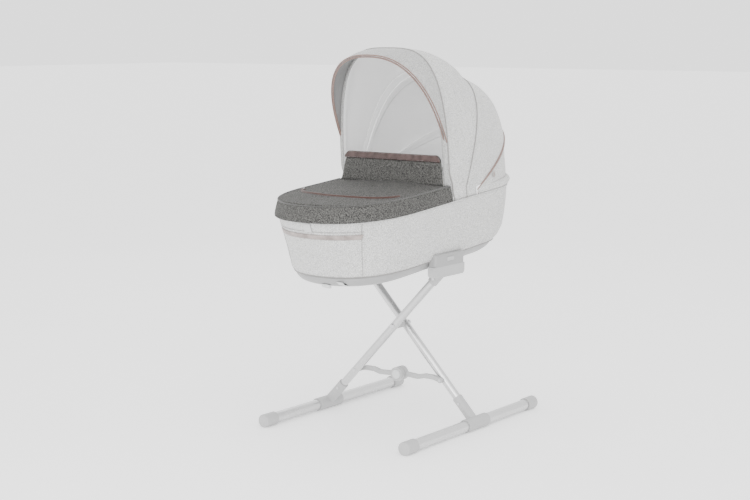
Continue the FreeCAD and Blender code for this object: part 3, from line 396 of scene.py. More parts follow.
def plastic(name, colour, rough=0.45, grain=1400.0):
    """Moulded plastic: a spark-eroded texture, slight flow marks and handling shine."""
    mat = material(name, colour, rough)
    bsdf = mat.node_tree.nodes["Principled BSDF"]
    slow = noise_node(mat, coordinates(mat), 22, 3, 0.55).outputs["Fac"]
    low = tuple(c * 0.93 for c in colour)
    wire(mat, ramp(mat, slow, [(0.3, low), (0.7, colour)]), bsdf.inputs["Base Color"])
    vary_roughness(mat, slow, rough, -0.08, 0.1, 0.75)
    fine = noise_node(mat, coordinates(mat), grain, 2, 0.5).outputs["Fac"]
    wire(mat, bump(mat, fine, 0.25, 0.0002), bsdf.inputs["Normal"])
    return mat


def metal(name, colour, rough, along):
    """Drawn or plated metal with fine lines along one direction and dull patches."""
    mat = material(name, colour, rough, metal=1.0)
    bsdf = mat.node_tree.nodes["Principled BSDF"]
    lines = noise_node(mat, coordinates(mat, along), 900, 2, 0.5).outputs["Fac"]
    slow = noise_node(mat, coordinates(mat), 14, 3, 0.6).outputs["Fac"]
    low = tuple(c * 0.92 for c in colour)
    wire(mat, ramp(mat, lines, [(0.3, low), (0.7, colour)]), bsdf.inputs["Base Color"])
    vary_roughness(mat, slow, rough, -0.06, 0.1)
    wire(mat, bump(mat, lines, 0.15, 0.0001), bsdf.inputs["Normal"])
    return mat


LIGHT = melange("light_melange", (0.78, 0.78, 0.765), (0.26, 0.26, 0.255), 0.1, fleck=420.0)
DARK = melange("dark_melange", (0.115, 0.113, 0.106), (0.0015, 0.0015, 0.0014), 0.06,
               fleck=400.0, sheen=0.0, depth=0.0008)
VISOR_CLOTH = melange("visor_melange", (0.55, 0.55, 0.54), (0.18, 0.18, 0.177), 0.1, fleck=420.0)
GLOWING_LINING = melange("pale_lining_with_painted_glow", (0.88, 0.88, 0.88), (0.8, 0.8, 0.8), 0.2, fleck=600.0, depth=0.0002)
VISOR_LINING = melange("visor_lining", (0.3, 0.3, 0.3), (0.22, 0.22, 0.22), 0.2, fleck=600.0, depth=0.0002)
COTTON = melange("cotton", (0.85, 0.845, 0.83), (0.76, 0.75, 0.73), 0.2, fleck=700.0, depth=0.0003)
PIPING = melange("grey_piping", (0.3, 0.29, 0.28), (0.18, 0.175, 0.17), 0.15, fleck=500.0)
ROSE = melange("rose_piping", (0.26, 0.165, 0.14), (0.15, 0.09, 0.075), 0.15, fleck=500.0)
DARK_PIPING = melange("dark_piping", (0.07, 0.068, 0.064), (0.012, 0.012, 0.011), 0.15, fleck=500.0)
THREAD = melange("thread", (0.62, 0.61, 0.59), (0.5, 0.49, 0.48), 0.2, fleck=900.0)
# The pale lining is also made to glow a little: painted light that brightens the hood's inside and the bows.
glow(GLOWING_LINING, 0.2)
BROWN = leather("brown_leather", (0.035, 0.013, 0.01), 0.4)
TAUPE = leather("taupe_leather", (0.25, 0.21, 0.195))
ZIP = melange("zip_tape", (0.07, 0.025, 0.018), (0.025, 0.01, 0.007), 0.2, fleck=700.0)
GREY_PLASTIC = plastic("grey_plastic", (0.4, 0.4, 0.4))
DARK_PLASTIC = plastic("base_plastic", (0.3, 0.3, 0.3))
PALE_PLASTIC = plastic("pale_plastic", (0.6, 0.61, 0.61), 0.38)
BOARD = plastic("board", (0.6, 0.59, 0.57), 0.6)
TUBE = metal("drawn_tube", (0.62, 0.62, 0.62), 0.27, (0.03, 1, 1))
LEG = metal("drawn_leg", (0.62, 0.62, 0.62), 0.27, (1, 0.1, 0.1))
STEEL = metal("plated_steel", (0.62, 0.62, 0.63), 0.3, (1, 1, 1))
PALE_TAB = melange("tab_cloth", (0.62, 0.62, 0.61), (0.45, 0.45, 0.45), 0.2, fleck=700.0)

SLOT_LOOKS = {
    "tube": TUBE, "grey_plastic": GREY_PLASTIC, "dark_plastic": DARK_PLASTIC, "pale_plastic": PALE_PLASTIC,
    "steel": STEEL, "light_fabric": LIGHT, "dark_fabric": DARK, "cotton": COTTON, "board": BOARD,
    "leather_trim": BROWN, "zip_tape": ZIP,
}
for part in frame["record"]["subparts"]:
    shade(NODES[part["node"]], SLOT_LOOKS[part["material_slot"]])
for name in ("leg_tube_a", "leg_tube_b"):
    shade(NODES[name], LEG)
for name in ("bow_rear", "bow_mid", "bow_front"):
    shade(NODES[name], GLOWING_LINING)
shade(NODES["visor_bow"], ROSE)
for name in ("release_button_near", "release_button_far"):
    shade(NODES[name], GREY_PLASTIC)


# ---------------------------------------------------------------- carrycot shapes
def level(x):
    return SLOPE * (x - REF_X)


def size_at(z):
    """Foot end, head end and half width of the fabric body at a level."""
    z = max(SECTIONS[0][0], min(SECTIONS[-1][0], z))
    for i in range(len(SECTIONS) - 1):
        if z <= SECTIONS[i + 1][0]:
            share = (z - SECTIONS[i][0]) / (SECTIONS[i + 1][0] - SECTIONS[i][0])
            return through([row[1:] for row in SECTIONS], i + share)
    return list(SECTIONS[-1][1:])


def oval(foot, head, half, z, count):
    """Closed plan outline from the foot's tip round the near side and back by the far side."""
    scale, power = half / SHELL_HALF, 2 / PLAN_POWER
    cap_foot, cap_head = CAPS[-1] * scale, CAPS[1] * scale
    steps = 40
    line = []
    for i in range(steps + 1):
        a = math.pi / 2 * i / steps
        line.append(Vector((foot + cap_foot * (1 - math.cos(a) ** power), -half * math.sin(a) ** power, 0)))
    for i in range(steps, -1, -1):
        a = math.pi / 2 * i / steps
        line.append(Vector((head - cap_head * (1 - math.cos(a) ** power), -half * math.sin(a) ** power, 0)))
    near = resample(line, count // 2 + 1)
    far = [Vector((p.x, -p.y, 0)) for p in near[-2:0:-1]]
    return [Vector((p.x, p.y, z + level(p.x))) for p in near + far]


def body_ring(z, inset, count=320):
    foot, head, half = size_at(z)
    return oval(foot + inset, head - inset, half - inset, z, count)


def body_fabric():
    """The quilt-backed outer cover: rolled top edge, soft wall, hem turned in over the tray."""
    profile = [(0.6975, 0.0072), (0.6992, 0.0058), (0.7, 0.004), (0.6992, 0.002), (0.697, 0.0006)]
    profile += [(0.697 - 0.163 * (i / 44), 0.0) for i in range(1, 45)]
    profile += [(0.5322, 0.0012), (0.531, 0.0035), (0.5302, 0.0065), (0.5305, 0.0078)]
    rows = []
    for z, inset in profile:
        row = []
        free = math.sin(math.pi * max(0, min(1, (z - 0.531) / 0.166))) ** 0.7
        for p, q in zip(body_ring(z, inset), body_ring(z, inset + 0.01)):
            inward = (q - p).normalized()
            soft = wander(p, 9.0) * 0.0016 + wander(p, 26.0, 4.0) * 0.0006
            low = math.exp(-((z - 0.548) / 0.016) ** 2)
            pull = abs(wander((p.x * 30, p.y * 30, p.z * 4), 1.0, 9.0)) * 0.0012 * low
            row.append(p + inward * ((soft * free) + pull + 0.0004))
        rows.append(row)
    obj = face_out(grid("body_fabric", rows, closed=True))
    modify(obj, "SOLIDIFY", thickness=0.0035, offset=-1)
    return obj


def seam_path(side, shift=0.0, out=0.0007, count=40):
    """The leaning seam down the body's side, where the foot end's cloth meets the side's."""
    points = []
    for i in range(count):
        z = 0.536 + 0.161 * i / (count - 1)
        x = STRAP_END - SEAM_LEAN * (z - SEAM_LEVEL) + shift
        near = sorted((p for p in body_ring(z, -out) if p.y * side > 0.02), key=lambda p: p.x)
        for a, b in zip(near, near[1:]):
            if a.x <= x <= b.x:
                points.append(a.lerp(b, (x - a.x) / max(b.x - a.x, 1e-9)))
                break
    return points


def foot_line(z, out, end_x, count=181):
    """The part of the body's outline round the foot end, from the far side to the near side."""
    line = [p for p in body_ring(z, -out, 720) if p.x < end_x + 0.002]
    line.sort(key=lambda p: -math.atan2(p.y, -(p.x + 0.2)))
    return resample(line, count)


def band(name, low, high, out, thick, end_x):
    """A strap that lies round the foot end between two levels, with rolled edges."""
    rows = []
    steps = 8
    for i in range(steps + 1):
        share = i / steps
        lift = out + thick * (1 - (2 * share - 1) ** 6)
        rows.append(foot_line(low + (high - low) * share, lift, end_x))
    obj = face_out(grid(name, rows), Vector((end_x + 0.1, 0, (low + high) / 2)))
    modify(obj, "SOLIDIFY", thickness=0.0009, offset=-1)
    return obj


def carrycot_soft():
    body = shade(body_fabric(), LIGHT)
    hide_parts("body_shell")
    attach(body, "carrycot")
    for tag, side in (("near", -1), ("far", 1)):
        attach(shade(tube("seam_" + tag, seam_path(side), 0.0006), PIPING), "carrycot")
        for mark, shift in (("a", -0.0045), ("b", 0.0045)):
            row = stitches("stitch_%s_%s" % (tag, mark), seam_path(side, shift), 0.0055, 0.0034, 0.0007)
            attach(shade(row, THREAD), "carrycot")
    rim = shade(tube("rim_piping", body_ring(0.6985, -0.0006), 0.0019, closed=True), LIGHT)
    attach(rim, "carrycot")
    hem = shade(tube("hem_piping", body_ring(0.5325, -0.0004), 0.0016, closed=True), PIPING)
    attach(hem, "carrycot")
    low, high = STRAP
    strap = shade(band("strap", low, high, 0.0008, 0.0014, STRAP_END), TAUPE)
    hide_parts("leather_strip")
    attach(strap, "carrycot")
    for tag, z in (("low", low + 0.0022), ("high", high - 0.0022)):
        line = foot_line(z, 0.0026, STRAP_END)
        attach(shade(stitches("strap_stitch_" + tag, line, 0.0048, 0.003, 0.0006), THREAD), "carrycot")
    upper = shade(tube("upper_seam", foot_line(0.671, 0.001, STRAP_END), 0.0006), PIPING)
    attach(upper, "carrycot")


# ---------------------------------------------------------------- cloth simulation
def copy_cad(name, node_name):
    obj = bpy.data.objects.new(name, NODES[node_name].data.copy())
    bpy.context.scene.collection.objects.link(obj)
    return obj


def puff(obj, voxel, pressure, cap, frames=20):
    """Let cloth pressure fill a closed shape out, remeshed first unless voxel is 0, by no more than cap."""
    if voxel:
        modify(obj, "REMESH", mode="VOXEL", voxel_size=voxel)
        apply_modifiers(obj)
    start = [v.co.copy() for v in obj.data.vertices]
    cloth = obj.modifiers.new("Cloth", "CLOTH")
    cloth.settings.quality = 5
    cloth.settings.mass = 0.2
    cloth.settings.tension_stiffness = 25
    cloth.settings.compression_stiffness = 20
    cloth.settings.bending_stiffness = 0.6
    cloth.settings.use_pressure = True
    cloth.settings.uniform_pressure_force = pressure
    cloth.settings.effector_weights.gravity = 0
    cloth.point_cache.frame_start = 1
    cloth.point_cache.frame_end = frames
    for number in range(1, frames + 1):
        bpy.context.scene.frame_set(number)
    apply_modifiers(obj)
    for vertex, home in zip(obj.data.vertices, start):
        move = vertex.co - home
        if move.length > cap:
            vertex.co = home + move.normalized() * cap
    bpy.context.scene.frame_set(1)
    for poly in obj.data.polygons:
        poly.use_smooth = True
    return obj


def mattress():
    obj = copy_cad("mattress_pad", "mattress")
    puff(obj, 0.006, 4.0, 0.006)
    modify(obj, "SUBSURF", levels=1, render_levels=1)
    shade(obj, COTTON)
    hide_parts("mattress")
    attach(obj, "carrycot")


def liner():
    """The padded cotton lining: quilted walls down to the mattress."""
    rows = []
    profile = [(0.6965, 0.0088), (0.6985, 0.0105), (0.6965, 0.0122)]
    profile += [(0.695 - 0.152 * i / 40, 0.0125) for i in range(41)]
    for z, inset in profile:
        row = []
        ring, inner = body_ring(z, inset), body_ring(z, inset + 0.01)
        for k, (p, q) in enumerate(zip(ring, inner)):
            inward = (q - p).normalized()
            rise = (z - 0.54) / 0.045
            quilt = abs(math.sin(math.pi * (k / 8 + rise))) * abs(math.sin(math.pi * (k / 8 - rise)))
            row.append(p + inward * (0.0022 * quilt ** 0.6 * (1 if inset > 0.012 else 0)))
        rows.append(row)
    floor_ring = rows[-1]
    middle = Vector((sum(p.x for p in floor_ring) / len(floor_ring), 0, 0))
    for share in (0.1, 0.3, 0.6, 0.95):
        row = []
        for p in floor_ring:
            x = p.x + (middle.x - p.x) * share
            row.append(Vector((x, p.y * (1 - share), LINER_FLOOR + level(x))))
        rows.append(row)
    obj = grid("lining", rows, closed=True)
    modify(obj, "SOLIDIFY", thickness=0.0015, offset=0)
    shade(obj, COTTON)
    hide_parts("inner_liner")
    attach(obj, "carrycot")


# ---------------------------------------------------------------- apron
APRON_LOW = 0.7006
APRON_HIGH = 0.0475
APRON_END = -0.041
APRON_SIDE_END = -0.018
APRON_PLAN = (-0.4565, 0.399, SHELL_HALF)
APRON_COUNT = 400
FLAP_GAP_HALF = 0.1925
# level above the apron's lower edge, inset from its plan, from the lower hem up to the deck
SKIRT = [
    (0.0, -0.0015), (0.001, -0.0028), (0.004, -0.003), (0.012, -0.0022), (0.024, 0.0006),
    (0.036, 0.0036), (0.044, 0.006), (0.0465, 0.0075), (APRON_HIGH, 0.010),
]


def apron_point(x, y):
    """The deck's height over a plan point: flat with a gentle crown and a few soft dents."""
    crown = 0.0045 * max(0.0, 1 - (y / 0.2) ** 2)
    soft = wander((x, y, 0), 11.0, 2.0) * 0.0022 + wander((x, y, 0), 30.0, 7.0) * 0.0007
    return APRON_LOW + APRON_HIGH + crown + soft + level(x)


def apron_edge(inset, rise, count):
    """A line round the foot end's skirt, inset from the apron's plan, that stops short of its side ends."""
    foot, head, half = APRON_PLAN
    ring = oval(foot + inset, head - inset, half - inset, APRON_LOW + rise, APRON_COUNT)
    ring = [p for p in ring if p.x < APRON_SIDE_END - 0.002]
    ring.sort(key=lambda p: math.atan2(p.y, -(p.x + 0.02)))
    return resample(ring, count)


def apron():
    """Fitted cover: skirt round the foot end, edge seam and a padded deck, cut straight at the flap."""
    foot, head, half = APRON_PLAN
    rows = []
    for rise, inset in SKIRT:
        ring = oval(foot + inset, head - inset, half - inset, APRON_LOW + rise, APRON_COUNT)
        wave = 0.0009 if 0.004 < rise < 0.04 else 0.0
        row = []
        for p in ring:
            outward = Vector((-1 if p.x < -0.35 else 0, math.copysign(1, p.y), 0))
            row.append(p + outward * wander(p, 22.0, 1.0) * wave)
        rows.append(row)
    edge = rows[-1]
    for share in (0.03, 0.07, 0.12, 0.2, 0.3, 0.4, 0.5, 0.6, 0.7, 0.8, 0.9, 1.0):
        row = []
        onto = min(1, share / 0.07)
        for p in edge:
            y = p.y * (1 - share)
            row.append(Vector((p.x, y, apron_point(p.x, y) * onto + p.z * (1 - onto))))
        rows.append(row)
    obj = grid("apron_pad", rows, closed=True)
    mesh = bmesh.new()
    mesh.from_mesh(obj.data)
    cuts = (
        ((APRON_SIDE_END, 0, 0), (1, 0, 0), True),
        ((APRON_END, 0, 0), (1, 0, 0), False),
        ((0, FLAP_GAP_HALF, 0), (0, 1, 0), False),
        ((0, -FLAP_GAP_HALF, 0), (0, 1, 0), False),
    )
    for at, across, clear in cuts:
        whole = mesh.verts[:] + mesh.edges[:] + mesh.faces[:]
        bmesh.ops.bisect_plane(mesh, geom=whole, plane_co=at, plane_no=across, clear_outer=clear)
    behind = []
    for face in mesh.faces:
        middle = face.calc_center_median()
        if middle.x > APRON_END and abs(middle.y) < FLAP_GAP_HALF:
            behind.append(face)
    bmesh.ops.delete(mesh, geom=behind, context="FACES")
    bmesh.ops.remove_doubles(mesh, verts=mesh.verts, dist=2e-5)
    bmesh.ops.recalc_face_normals(mesh, faces=mesh.faces)
    mesh.to_mesh(obj.data)
    mesh.free()
    for poly in obj.data.polygons:
        poly.use_smooth = True
    face_out(obj, Vector((-0.2, 0, 0.66)))
    modify(obj, "SOLIDIFY", thickness=0.0032, offset=-1)
    shade(obj, DARK)
    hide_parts("apron_cover")
    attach(obj, "carrycot")
    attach(shade(tube("apron_piping", apron_edge(0.0068, 0.0468, 260), 0.0018), DARK_PIPING), "carrycot")
    row = stitches("apron_stitch", apron_edge(-0.003, 0.0045, 300), 0.005, 0.0032, 0.0008)
    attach(shade(row, DARK_PIPING), "carrycot")


def zip_line(reach, half, lift):
    points = []
    for i in range(120):
        a = math.radians(-88 + 176 * i / 119)
        x, y = ZIP_X - reach * math.cos(a), half * math.sin(a)
        points.append(Vector((x, y, apron_point(x, y) + lift)))
    return points


def zip_parts():
    """Two strips of tape, a coil of teeth between them, and the slider with its leather pull."""
    wide = 0.0105
    rows = []
    for i in range(7):
        inset = wide * i / 6
        rows.append(zip_line(0.085 - inset, 0.181 - inset, 0.0022 - 0.0005 * abs(i - 3)))
    tape = face_out(grid("zip_tape_cloth", rows), Vector((ZIP_X, 0, 0.5)))
    modify(tape, "SOLIDIFY", thickness=0.0009, offset=-1)
    shade(tape, ZIP)
    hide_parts("zip_tape")
    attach(tape, "carrycot")
    middle = resample(zip_line(ZIP_REACH, ZIP_HALF, 0.003), 240)
    teeth = stitches("zip_teeth", middle, 0.0024, 0.0015, 0.0034)
    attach(shade(teeth, DARK_PIPING), "carrycot")
    cord = tube("zip_cord", resample(zip_line(ZIP_REACH, ZIP_HALF, 0.002), 240), 0.0026)
    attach(shade(cord, ZIP), "carrycot")
    end = zip_line(ZIP_REACH, ZIP_HALF, 0.004)[-4]
    slider = tube("zip_slider", [end + Vector((0.004 * t, 0, 0)) for t in (-1, -0.5, 0, 0.5, 1)], 0.0026)
    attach(shade(slider, STEEL), "carrycot")
    path = [end + Vector((-0.003 - 0.004 * t, -0.0016 * t, 0.0012 * math.sin(t))) for t in range(6)]
    pull = []
    for p in path:
        pull.append([p + Vector((0, -0.0032, 0)), p + Vector((0, 0, 0.0006)), p + Vector((0, 0.0032, 0))])
    leaf = grid("zip_pull", pull)
    modify(leaf, "SOLIDIFY", thickness=0.0014, offset=0)
    modify(leaf, "BEVEL", width=0.0004, segments=2)
    shade(leaf, BROWN)
    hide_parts("zip_puller")
    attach(leaf, "carrycot")


def flap():
    """The wind flap: a puffed pad with soft edges, fuller in the middle than at its hems."""
    low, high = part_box("apron_flap")
    rows = []
    tall, wide = 30, 60
    for i in range(tall + 1):
        share = i / tall
        z = low[2] + (high[2] - low[2]) * (0.5 - 0.5 * math.cos(math.pi * share))
        half = flap_half(z)
        edge = max(0.0, 1 - abs(2 * share - 1) ** 8) ** 0.5
        ring = []
        for face in (-1, 1):
            for k in range(wide):
                side = -face * math.cos(math.pi * k / wide)
                thick = 0.0034 * edge * max(0.0, 1 - abs(side) ** 8) ** 0.5
                ring.append(Vector((flap_front(z, half * side) + 0.004 + face * thick, half * side, z)))
        rows.append(ring)
    obj = weld(grid("flap_pad", rows, closed=True), 1e-5, True)
    puff(obj, 0.0, 3.0, 0.0016)
    modify(obj, "SUBSURF", levels=1, render_levels=1)
    for poly in obj.data.polygons:
        poly.use_smooth = True
    shade(obj, DARK)
    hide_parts("apron_flap")
    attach(obj, "flap")


def flap_half(z):
    low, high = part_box("apron_flap")
    share = (z - low[2]) / (high[2] - low[2])
    corner = max(0, (z - (high[2] - FLAP_ROUND)) / FLAP_ROUND)
    round_off = FLAP_ROUND * (1 - math.sqrt(max(0, 1 - min(1, corner) ** 2)))
    return FLAP_HALF_LOW + share * (FLAP_HALF_HIGH - FLAP_HALF_LOW) - round_off


def flap_front(z, y):
    low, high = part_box("apron_flap")
    share = (z - low[2]) / (high[2] - low[2])
    ripple = wander((0, y, z), 18.0, 3.0) * 0.0022 * (1 - abs(y / high[1]) ** 4)
    return low[0] + 0.011 * share + ripple * min(1, share * 2)


def flap_trim():
    low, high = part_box("flap_band")
    rows = []
    steps = 9
    for i in range(steps + 1):
        z = low[2] + (high[2] - 0.0008 - low[2]) * i / steps
        bulge = 0.0012 * (1 - (2 * i / steps - 1) ** 6)
        half = flap_half(z) - 0.0008
        rows.append([Vector((flap_front(z, y) - 0.0028 - bulge, y, z)) for y in even_steps(half, 90)])
    obj = grid("flap_band_leather", rows)
    modify(obj, "SOLIDIFY", thickness=0.0011, offset=0)
    shade(obj, BROWN)
    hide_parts("flap_band")
    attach(obj, "flap")
    for tag, z in (("low", low[2] + 0.0022), ("high", high[2] - 0.003)):
        half = flap_half(z) - 0.004
        line = [Vector((flap_front(z, y) - 0.0046, y, z)) for y in even_steps(half, 90)]
        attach(shade(stitches("flap_stitch_" + tag, line, 0.0046, 0.003, 0.0006), THREAD), "flap")


# ---------------------------------------------------------------- hood
def bow_start(deg, ahead, least):
    """How far up a bow plane its fabric starts, just over the rim."""
    a = math.radians(deg)
    x, z = HUB.x - ahead * math.sin(a), HUB.z + ahead * math.cos(a)
    rim = RIM_TOP + level(x)
    return max(least, (rim - z) / max(0.1, math.sin(a) - SLOPE * math.cos(a)))


def half_oval(centre, deg, radius, half, power, start, ahead=0.0, count=141):
    """Half super-ellipse in a bow's plane, evenly spaced from the near side over to the far side."""
    shift = math.asin(min(1.0, (start / radius) ** (power / 2)))
    a = math.radians(deg)
    points = []
    steps = 200
    for i in range(steps + 1):
        angle = shift + (math.pi - 2 * shift) * i / steps
        side = -math.copysign(half * abs(math.cos(angle)) ** (2 / power), math.cos(angle))
        r = radius * math.sin(angle) ** (2 / power)
        x = r * math.cos(a) - ahead * math.sin(a)
        z = r * math.sin(a) + ahead * math.cos(a)
        points.append(centre + Vector((x, side, z)))
    return resample(points, count)


def hood_row(u, grow=0.0, count=161):
    """The hood's outer line at row u of HOOD_ROWS, any number from 0 to 9, down to the rim at both ends."""
    deg, ahead, radius, half, power = through(HOOD_ROWS, u)
    ahead, radius, half = ahead / 1000, radius / 1000, half / 1000
    start = bow_start(deg, ahead, 0.053 - 0.038 * max(0.0, min(1.0, u - 3)))
    line = half_oval(HUB, deg, radius + grow, half + grow, power, start, ahead)
    feet = []
    for p in (line[0], line[-1]):
        feet.append(Vector((p.x, math.copysign(RIM_HALF + grow, p.y), RIM_LEVEL + level(p.x))))
    line = resample([feet[0]] + line + [feet[1]], count)
    if u > MIDDLE_BOW:
        share = (u - MIDDLE_BOW) / (FRONT_BOW - MIDDLE_BOW)
        line = [p + Vector((0.014 * share ** 2 * front_draw(p.z), 0, 0)) for p in line]
    return line


def front_draw(z):
    """How far the front edge is drawn back near the rim, from 1 at the rim to 0 well above it."""
    share = max(0.0, min(1.0, (z - 0.74) / 0.05))
    return 1 - share * share * (3 - 2 * share)


def gathers(p, share):
    """Small radial pleats near the hub and a slack, softly creased middle between two bows."""
    out = p - HUB
    reach = math.hypot(out.x, out.z)
    turn = math.atan2(out.z, out.x)
    pleat = math.sin(turn * 34 + 2.5 * wander(p, 12.0)) * 0.0016 * math.exp(-((reach - 0.05) / 0.07) ** 2)
    soft = wander(p, 10.0, 5.0) * 0.0018 + wander(p, 28.0, 8.0) * 0.0006
    slack = math.sin(math.pi * share)
    return pleat * slack + (soft - 0.0032) * slack


def panel(name, first, last, steps, inner, tuck_back=0.0, tuck_front=0.0):
    """One panel of hood cloth between two bows, with its lining as the back faces.

    Its edges reach on under the neighbouring panels, which narrows the gap that opens when the hood folds."""
    rows = []
    for i in range(steps + 1):
        share = i / steps
        made = []
        u = first - tuck_back + (last + tuck_front - first + tuck_back) * share
        tucked = min(1.0, max(first - u, u - last, 0.0) / 0.06)
        for p in hood_row(u, -TUCK_DROP * tucked):
            side = Vector((p.x - HUB.x, p.y * 0.9, p.z - HUB.z)).normalized()
            low = max(0.0, min(1.0, (p.z - RIM_LEVEL - level(p.x)) / 0.05))
            made.append(p + side * gathers(p, share) * low)
        rows.append(made)
    obj = face_out(grid(name, rows), HUB + Vector((0.05, 0, 0.05)))
    shade(obj, LIGHT, inner)
    return obj, rows


def thicken(obj):
    modify(obj, "SOLIDIFY", thickness=CLOTH_THICK, offset=-1, material_offset=1, material_offset_rim=0)


def bend(obj):
    """Bake the cloth's transform into its mesh points."""
    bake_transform(obj)


def rear_skirt():
    """The last strip of hood, which rolls in from the rear row to the body's top edge."""
    top = hood_row(0)
    ring = [p for p in body_ring(0.7004, 0.002, 900) if p.x > top[0].x]
    ring.sort(key=lambda p: math.atan2(p.y, p.x - top[0].x))
    low = resample(ring, len(top))
    rows = []
    for i in range(11):
        share = i / 10
        row = []
        for a, b in zip(top, low):
            out = Vector((a.x - 0.1, a.y * 0.6, 0)).normalized()
            onset = min(1, max(0, (a.x - 0.2) / 0.16))
            row.append(a.lerp(b, share) + out * 0.019 * math.sin(math.pi * share) ** 0.7 * onset)
        rows.append(row)
    obj = face_out(grid("hood_rear_skirt", rows), HUB + Vector((0.1, 0, 0.05)))
    modify(obj, "SOLIDIFY", thickness=0.0022, offset=-1)
    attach(shade(obj, LIGHT), "carrycot")


def front_facing():
    """The hem that wraps from the front panel's edge in to the front bow."""
    edge = hood_row(FRONT_BOW)
    inner = half_oval(HUB, 95, 0.432, 0.1865, 3.4, 0.015, 0.086)
    inner = resample(inner, len(edge))
    rows = []
    for i in range(7):
        share = i / 6
        swell = Vector((-0.004 * math.sin(math.pi * share), 0, 0))
        rows.append([a.lerp(b, share) + swell for a, b in zip(edge, inner)])
    obj = face_out(grid("hood_front_hem", rows), HUB + Vector((0.05, 0, 0.2)))
    modify(obj, "SOLIDIFY", thickness=0.0018, offset=0)
    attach(shade(obj, VISOR_CLOTH), "hood_front")


def hood():
    rear, rows = panel("hood_rear_cloth", 0, REAR_BOW, 30, GLOWING_LINING)
    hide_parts("hood_cloth_rear")
    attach(rear, "carrycot")
    thicken(rear)

    middle, rows = panel("hood_middle_cloth", REAR_BOW, MIDDLE_BOW, 44, GLOWING_LINING, HEM_TUCK, HEM_TUCK)
    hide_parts("hood_cloth_mid")
    bend(middle)
    thicken(middle)

    front, rows = panel("hood_front_cloth", MIDDLE_BOW, FRONT_BOW, 38, GLOWING_LINING, HEM_TUCK)
    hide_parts("hood_cloth_front")
    bend(front)
    thicken(front)

    rear_skirt()
    front_facing()
    cords = (
        ("rear", REAR_BOW, "carrycot", ROSE, 0.0026),
        ("rear_inner", REAR_BOW - 0.16, "carrycot", ROSE, 0.0014),
        ("middle", MIDDLE_BOW, "hood_middle", PIPING, 0.0013),
        ("front", FRONT_BOW, "hood_front", PIPING, 0.0024),
    )
    for name, u, body, look, thick in cords:
        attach(shade(tube("hood_piping_" + name, hood_row(u, 0.0004), thick), look), body)
    seams = (
        ("rear", REAR_BOW + 0.12, "carrycot"),
        ("middle", MIDDLE_BOW + 0.1, "hood_middle"),
        ("front", FRONT_BOW - 0.1, "hood_front"),
    )
    for name, u, body in seams:
        line = hood_row(u, 0.0004)
        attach(shade(stitches("hood_stitch_" + name, line[8:-8], 0.0052, 0.0034, 0.0006), THREAD), body)


def visor_row(share, grow=0.0):
    """From the hood's front edge above the visor's hinge (0) to the visor's own front edge (1)."""
    back = [p for p in hood_row(FRONT_BOW, grow, 401) if p.z > VISOR_HINGE.z]
    back = resample(back, 141)
    front = half_oval(VISOR_HINGE, VISOR_DEG, VISOR_R + grow, VISOR_HALF + grow, VISOR_POWER, 0.004)
    row = []
    for a, b in zip(back, front):
        out = Vector((a.x - VISOR_HINGE.x, a.y * 0.3, a.z - VISOR_HINGE.z))
        bulge = 4 * share * (1 - share) * 0.005 * min(1.0, out.length / 0.2)
        row.append(a.lerp(b, share) + out.normalized() * bulge)
    return row


def visor():
    rows = []
    steps = 22
    for i in range(steps + 1):
        share = i / steps
        row = []
        for p in visor_row(share):
            out = Vector((p.x - VISOR_HINGE.x, p.y, p.z - VISOR_HINGE.z)).normalized()
            row.append(p + out * (math.sin(math.pi * share) * (wander(p, 14.0, 6.0) * 0.0014 - 0.0006)))
        rows.append(row)
    obj = face_out(grid("visor_panel", rows), VISOR_HINGE)
    shade(obj, VISOR_CLOTH, VISOR_LINING)
    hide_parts("visor_cloth")
    bend(obj)
    thicken(obj)
    edge = tube("visor_piping", visor_row(1, 0.0004), 0.0021)
    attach(shade(edge, ROSE), "visor")
    line = visor_row(0.93, 0.0012)
    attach(shade(stitches("visor_stitch", line[4:-4], 0.0052, 0.0034, 0.0006), THREAD), "visor")


def vent_grille():
    """The pale slotted insert behind the tray's vent window."""
    rows = []
    for i in range(25):
        x = -0.378 + 0.029 * i / 24
        rib = 0.0012 * max(0.0, math.sin(math.pi * 8 * i / 24))
        low = 0.4755 + max(0.0, (-0.366 - x)) * 0.75 - max(0.0, (x + 0.366)) * 0.25
        ys = [-0.0795 + 0.021 * k / 8 for k in range(9)]
        rows.append([Vector((x, y, low + 0.0035 - rib)) for y in ys])
    obj = grid("vent_insert", rows)
    modify(obj, "SOLIDIFY", thickness=0.0015, offset=0)
    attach(shade(obj, PALE_PLASTIC), "carrycot")


def small_labels():
    """The plain woven tab at the foot and the small tag on the hood, both blank."""
    rows = []
    for i in range(9):
        z = 0.669 + 0.0275 * i / 8
        ring = body_ring(z, -0.002 - 0.0006 * math.sin(math.pi * i / 8), 2400)
        line = sorted((p for p in ring if p.x < 0 and abs(p.y) < 0.0146), key=lambda p: p.y)
        rows.append(resample(line, 13))
    tab = grid("foot_tab", rows)
    modify(tab, "SOLIDIFY", thickness=0.001, offset=0)
    shade(tab, PALE_TAB)
    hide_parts("front_tab")
    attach(tab, "carrycot")
    low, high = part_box("hood_tag")
    rows = []
    for i in range(9):
        z = low[2] + (high[2] - low[2]) * i / 8
        bow = 0.0008 * math.sin(math.pi * i / 8)
        xs = [low[0] + (high[0] - low[0]) * k / 6 for k in range(7)]
        rows.append([Vector((x, low[1] + 0.0012 - bow, z)) for x in xs])
    tag = grid("hood_label", rows)
    modify(tag, "SOLIDIFY", thickness=0.0009, offset=0)
    shade(tag, TAUPE)
    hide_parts("hood_tag")
    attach(tag, "carrycot")


carrycot_soft()
mattress()
liner()
apron()
zip_parts()
flap()
flap_trim()
hood()
visor()
vent_grille()
small_labels()


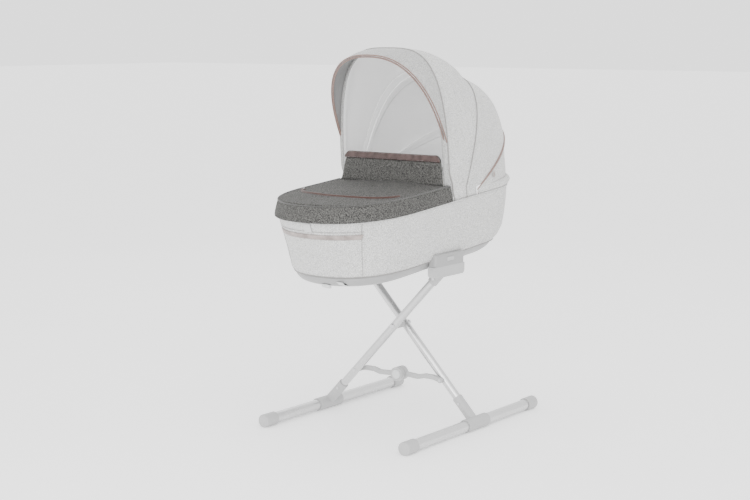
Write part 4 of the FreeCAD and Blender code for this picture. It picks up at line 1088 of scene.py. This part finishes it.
# ---------------------------------------------------------------- floor, light and camera
def stage():
    size = 40.0
    corners = [(-size, -size, 0), (size, -size, 0), (size, size, 0), (-size, size, 0)]
    floor = new_mesh("floor", corners, [(0, 1, 2, 3)])
    pale = material("pale_floor", (0.93, 0.93, 0.93), 0.7)
    slow = noise_node(pale, coordinates(pale), 1.5, 2, 0.5).outputs["Fac"]
    wire(pale, ramp(pale, slow, [(0.3, (0.92, 0.92, 0.92)), (0.7, (0.94, 0.94, 0.94))]),
         pale.node_tree.nodes["Principled BSDF"].inputs["Base Color"])
    glow(pale, 0.4)
    shade(floor, pale)
    world = bpy.data.worlds.new("studio")
    bpy.context.scene.world = world
    world.use_nodes = True
    world.node_tree.nodes["Background"].inputs["Color"].default_value = (1, 1, 1, 1)
    world.node_tree.nodes["Background"].inputs["Strength"].default_value = 2.0


def lamp(name, at, aim, size, power):
    data = bpy.data.lights.new(name, "AREA")
    data.shape = "RECTANGLE"
    data.size, data.size_y = size
    data.energy = power
    obj = bpy.data.objects.new(name, data)
    obj.location = at
    obj.rotation_mode = "QUATERNION"
    obj.rotation_quaternion = (Vector(aim) - Vector(at)).to_track_quat("-Z", "Y")
    bpy.context.scene.collection.objects.link(obj)


def camera():
    """A long lens from the foot end's near side, a little above the rim."""
    data = bpy.data.cameras.new("camera")
    data.sensor_width = 36
    data.lens = 73.15
    obj = bpy.data.objects.new("camera", data)
    obj.location = (-3.7565, -2.727, 1.197)
    across, down = math.radians(36.84), math.radians(8.15)
    ahead = Vector((math.cos(across) * math.cos(down), math.sin(across) * math.cos(down), -math.sin(down)))
    obj.rotation_mode = "QUATERNION"
    obj.rotation_quaternion = ahead.to_track_quat("-Z", "Y")
    bpy.context.scene.collection.objects.link(obj)
    bpy.context.scene.camera = obj


stage()
lamp("key", (-2.4, -2.2, 3.4), (0, 0, 0.6), (2.4, 2.4), 55)
lamp("top", (0.2, 0.1, 3.6), (0, 0, 0.6), (2.6, 2.6), 15)
lamp("fill", (-3.6, -1.2, 1.5), (0.1, 0, 0.95), (1.6, 1.6), 75)
lamp("rim", (2.4, 2.2, 2.2), (0, 0, 0.8), (2.0, 2.0), 10)
camera()
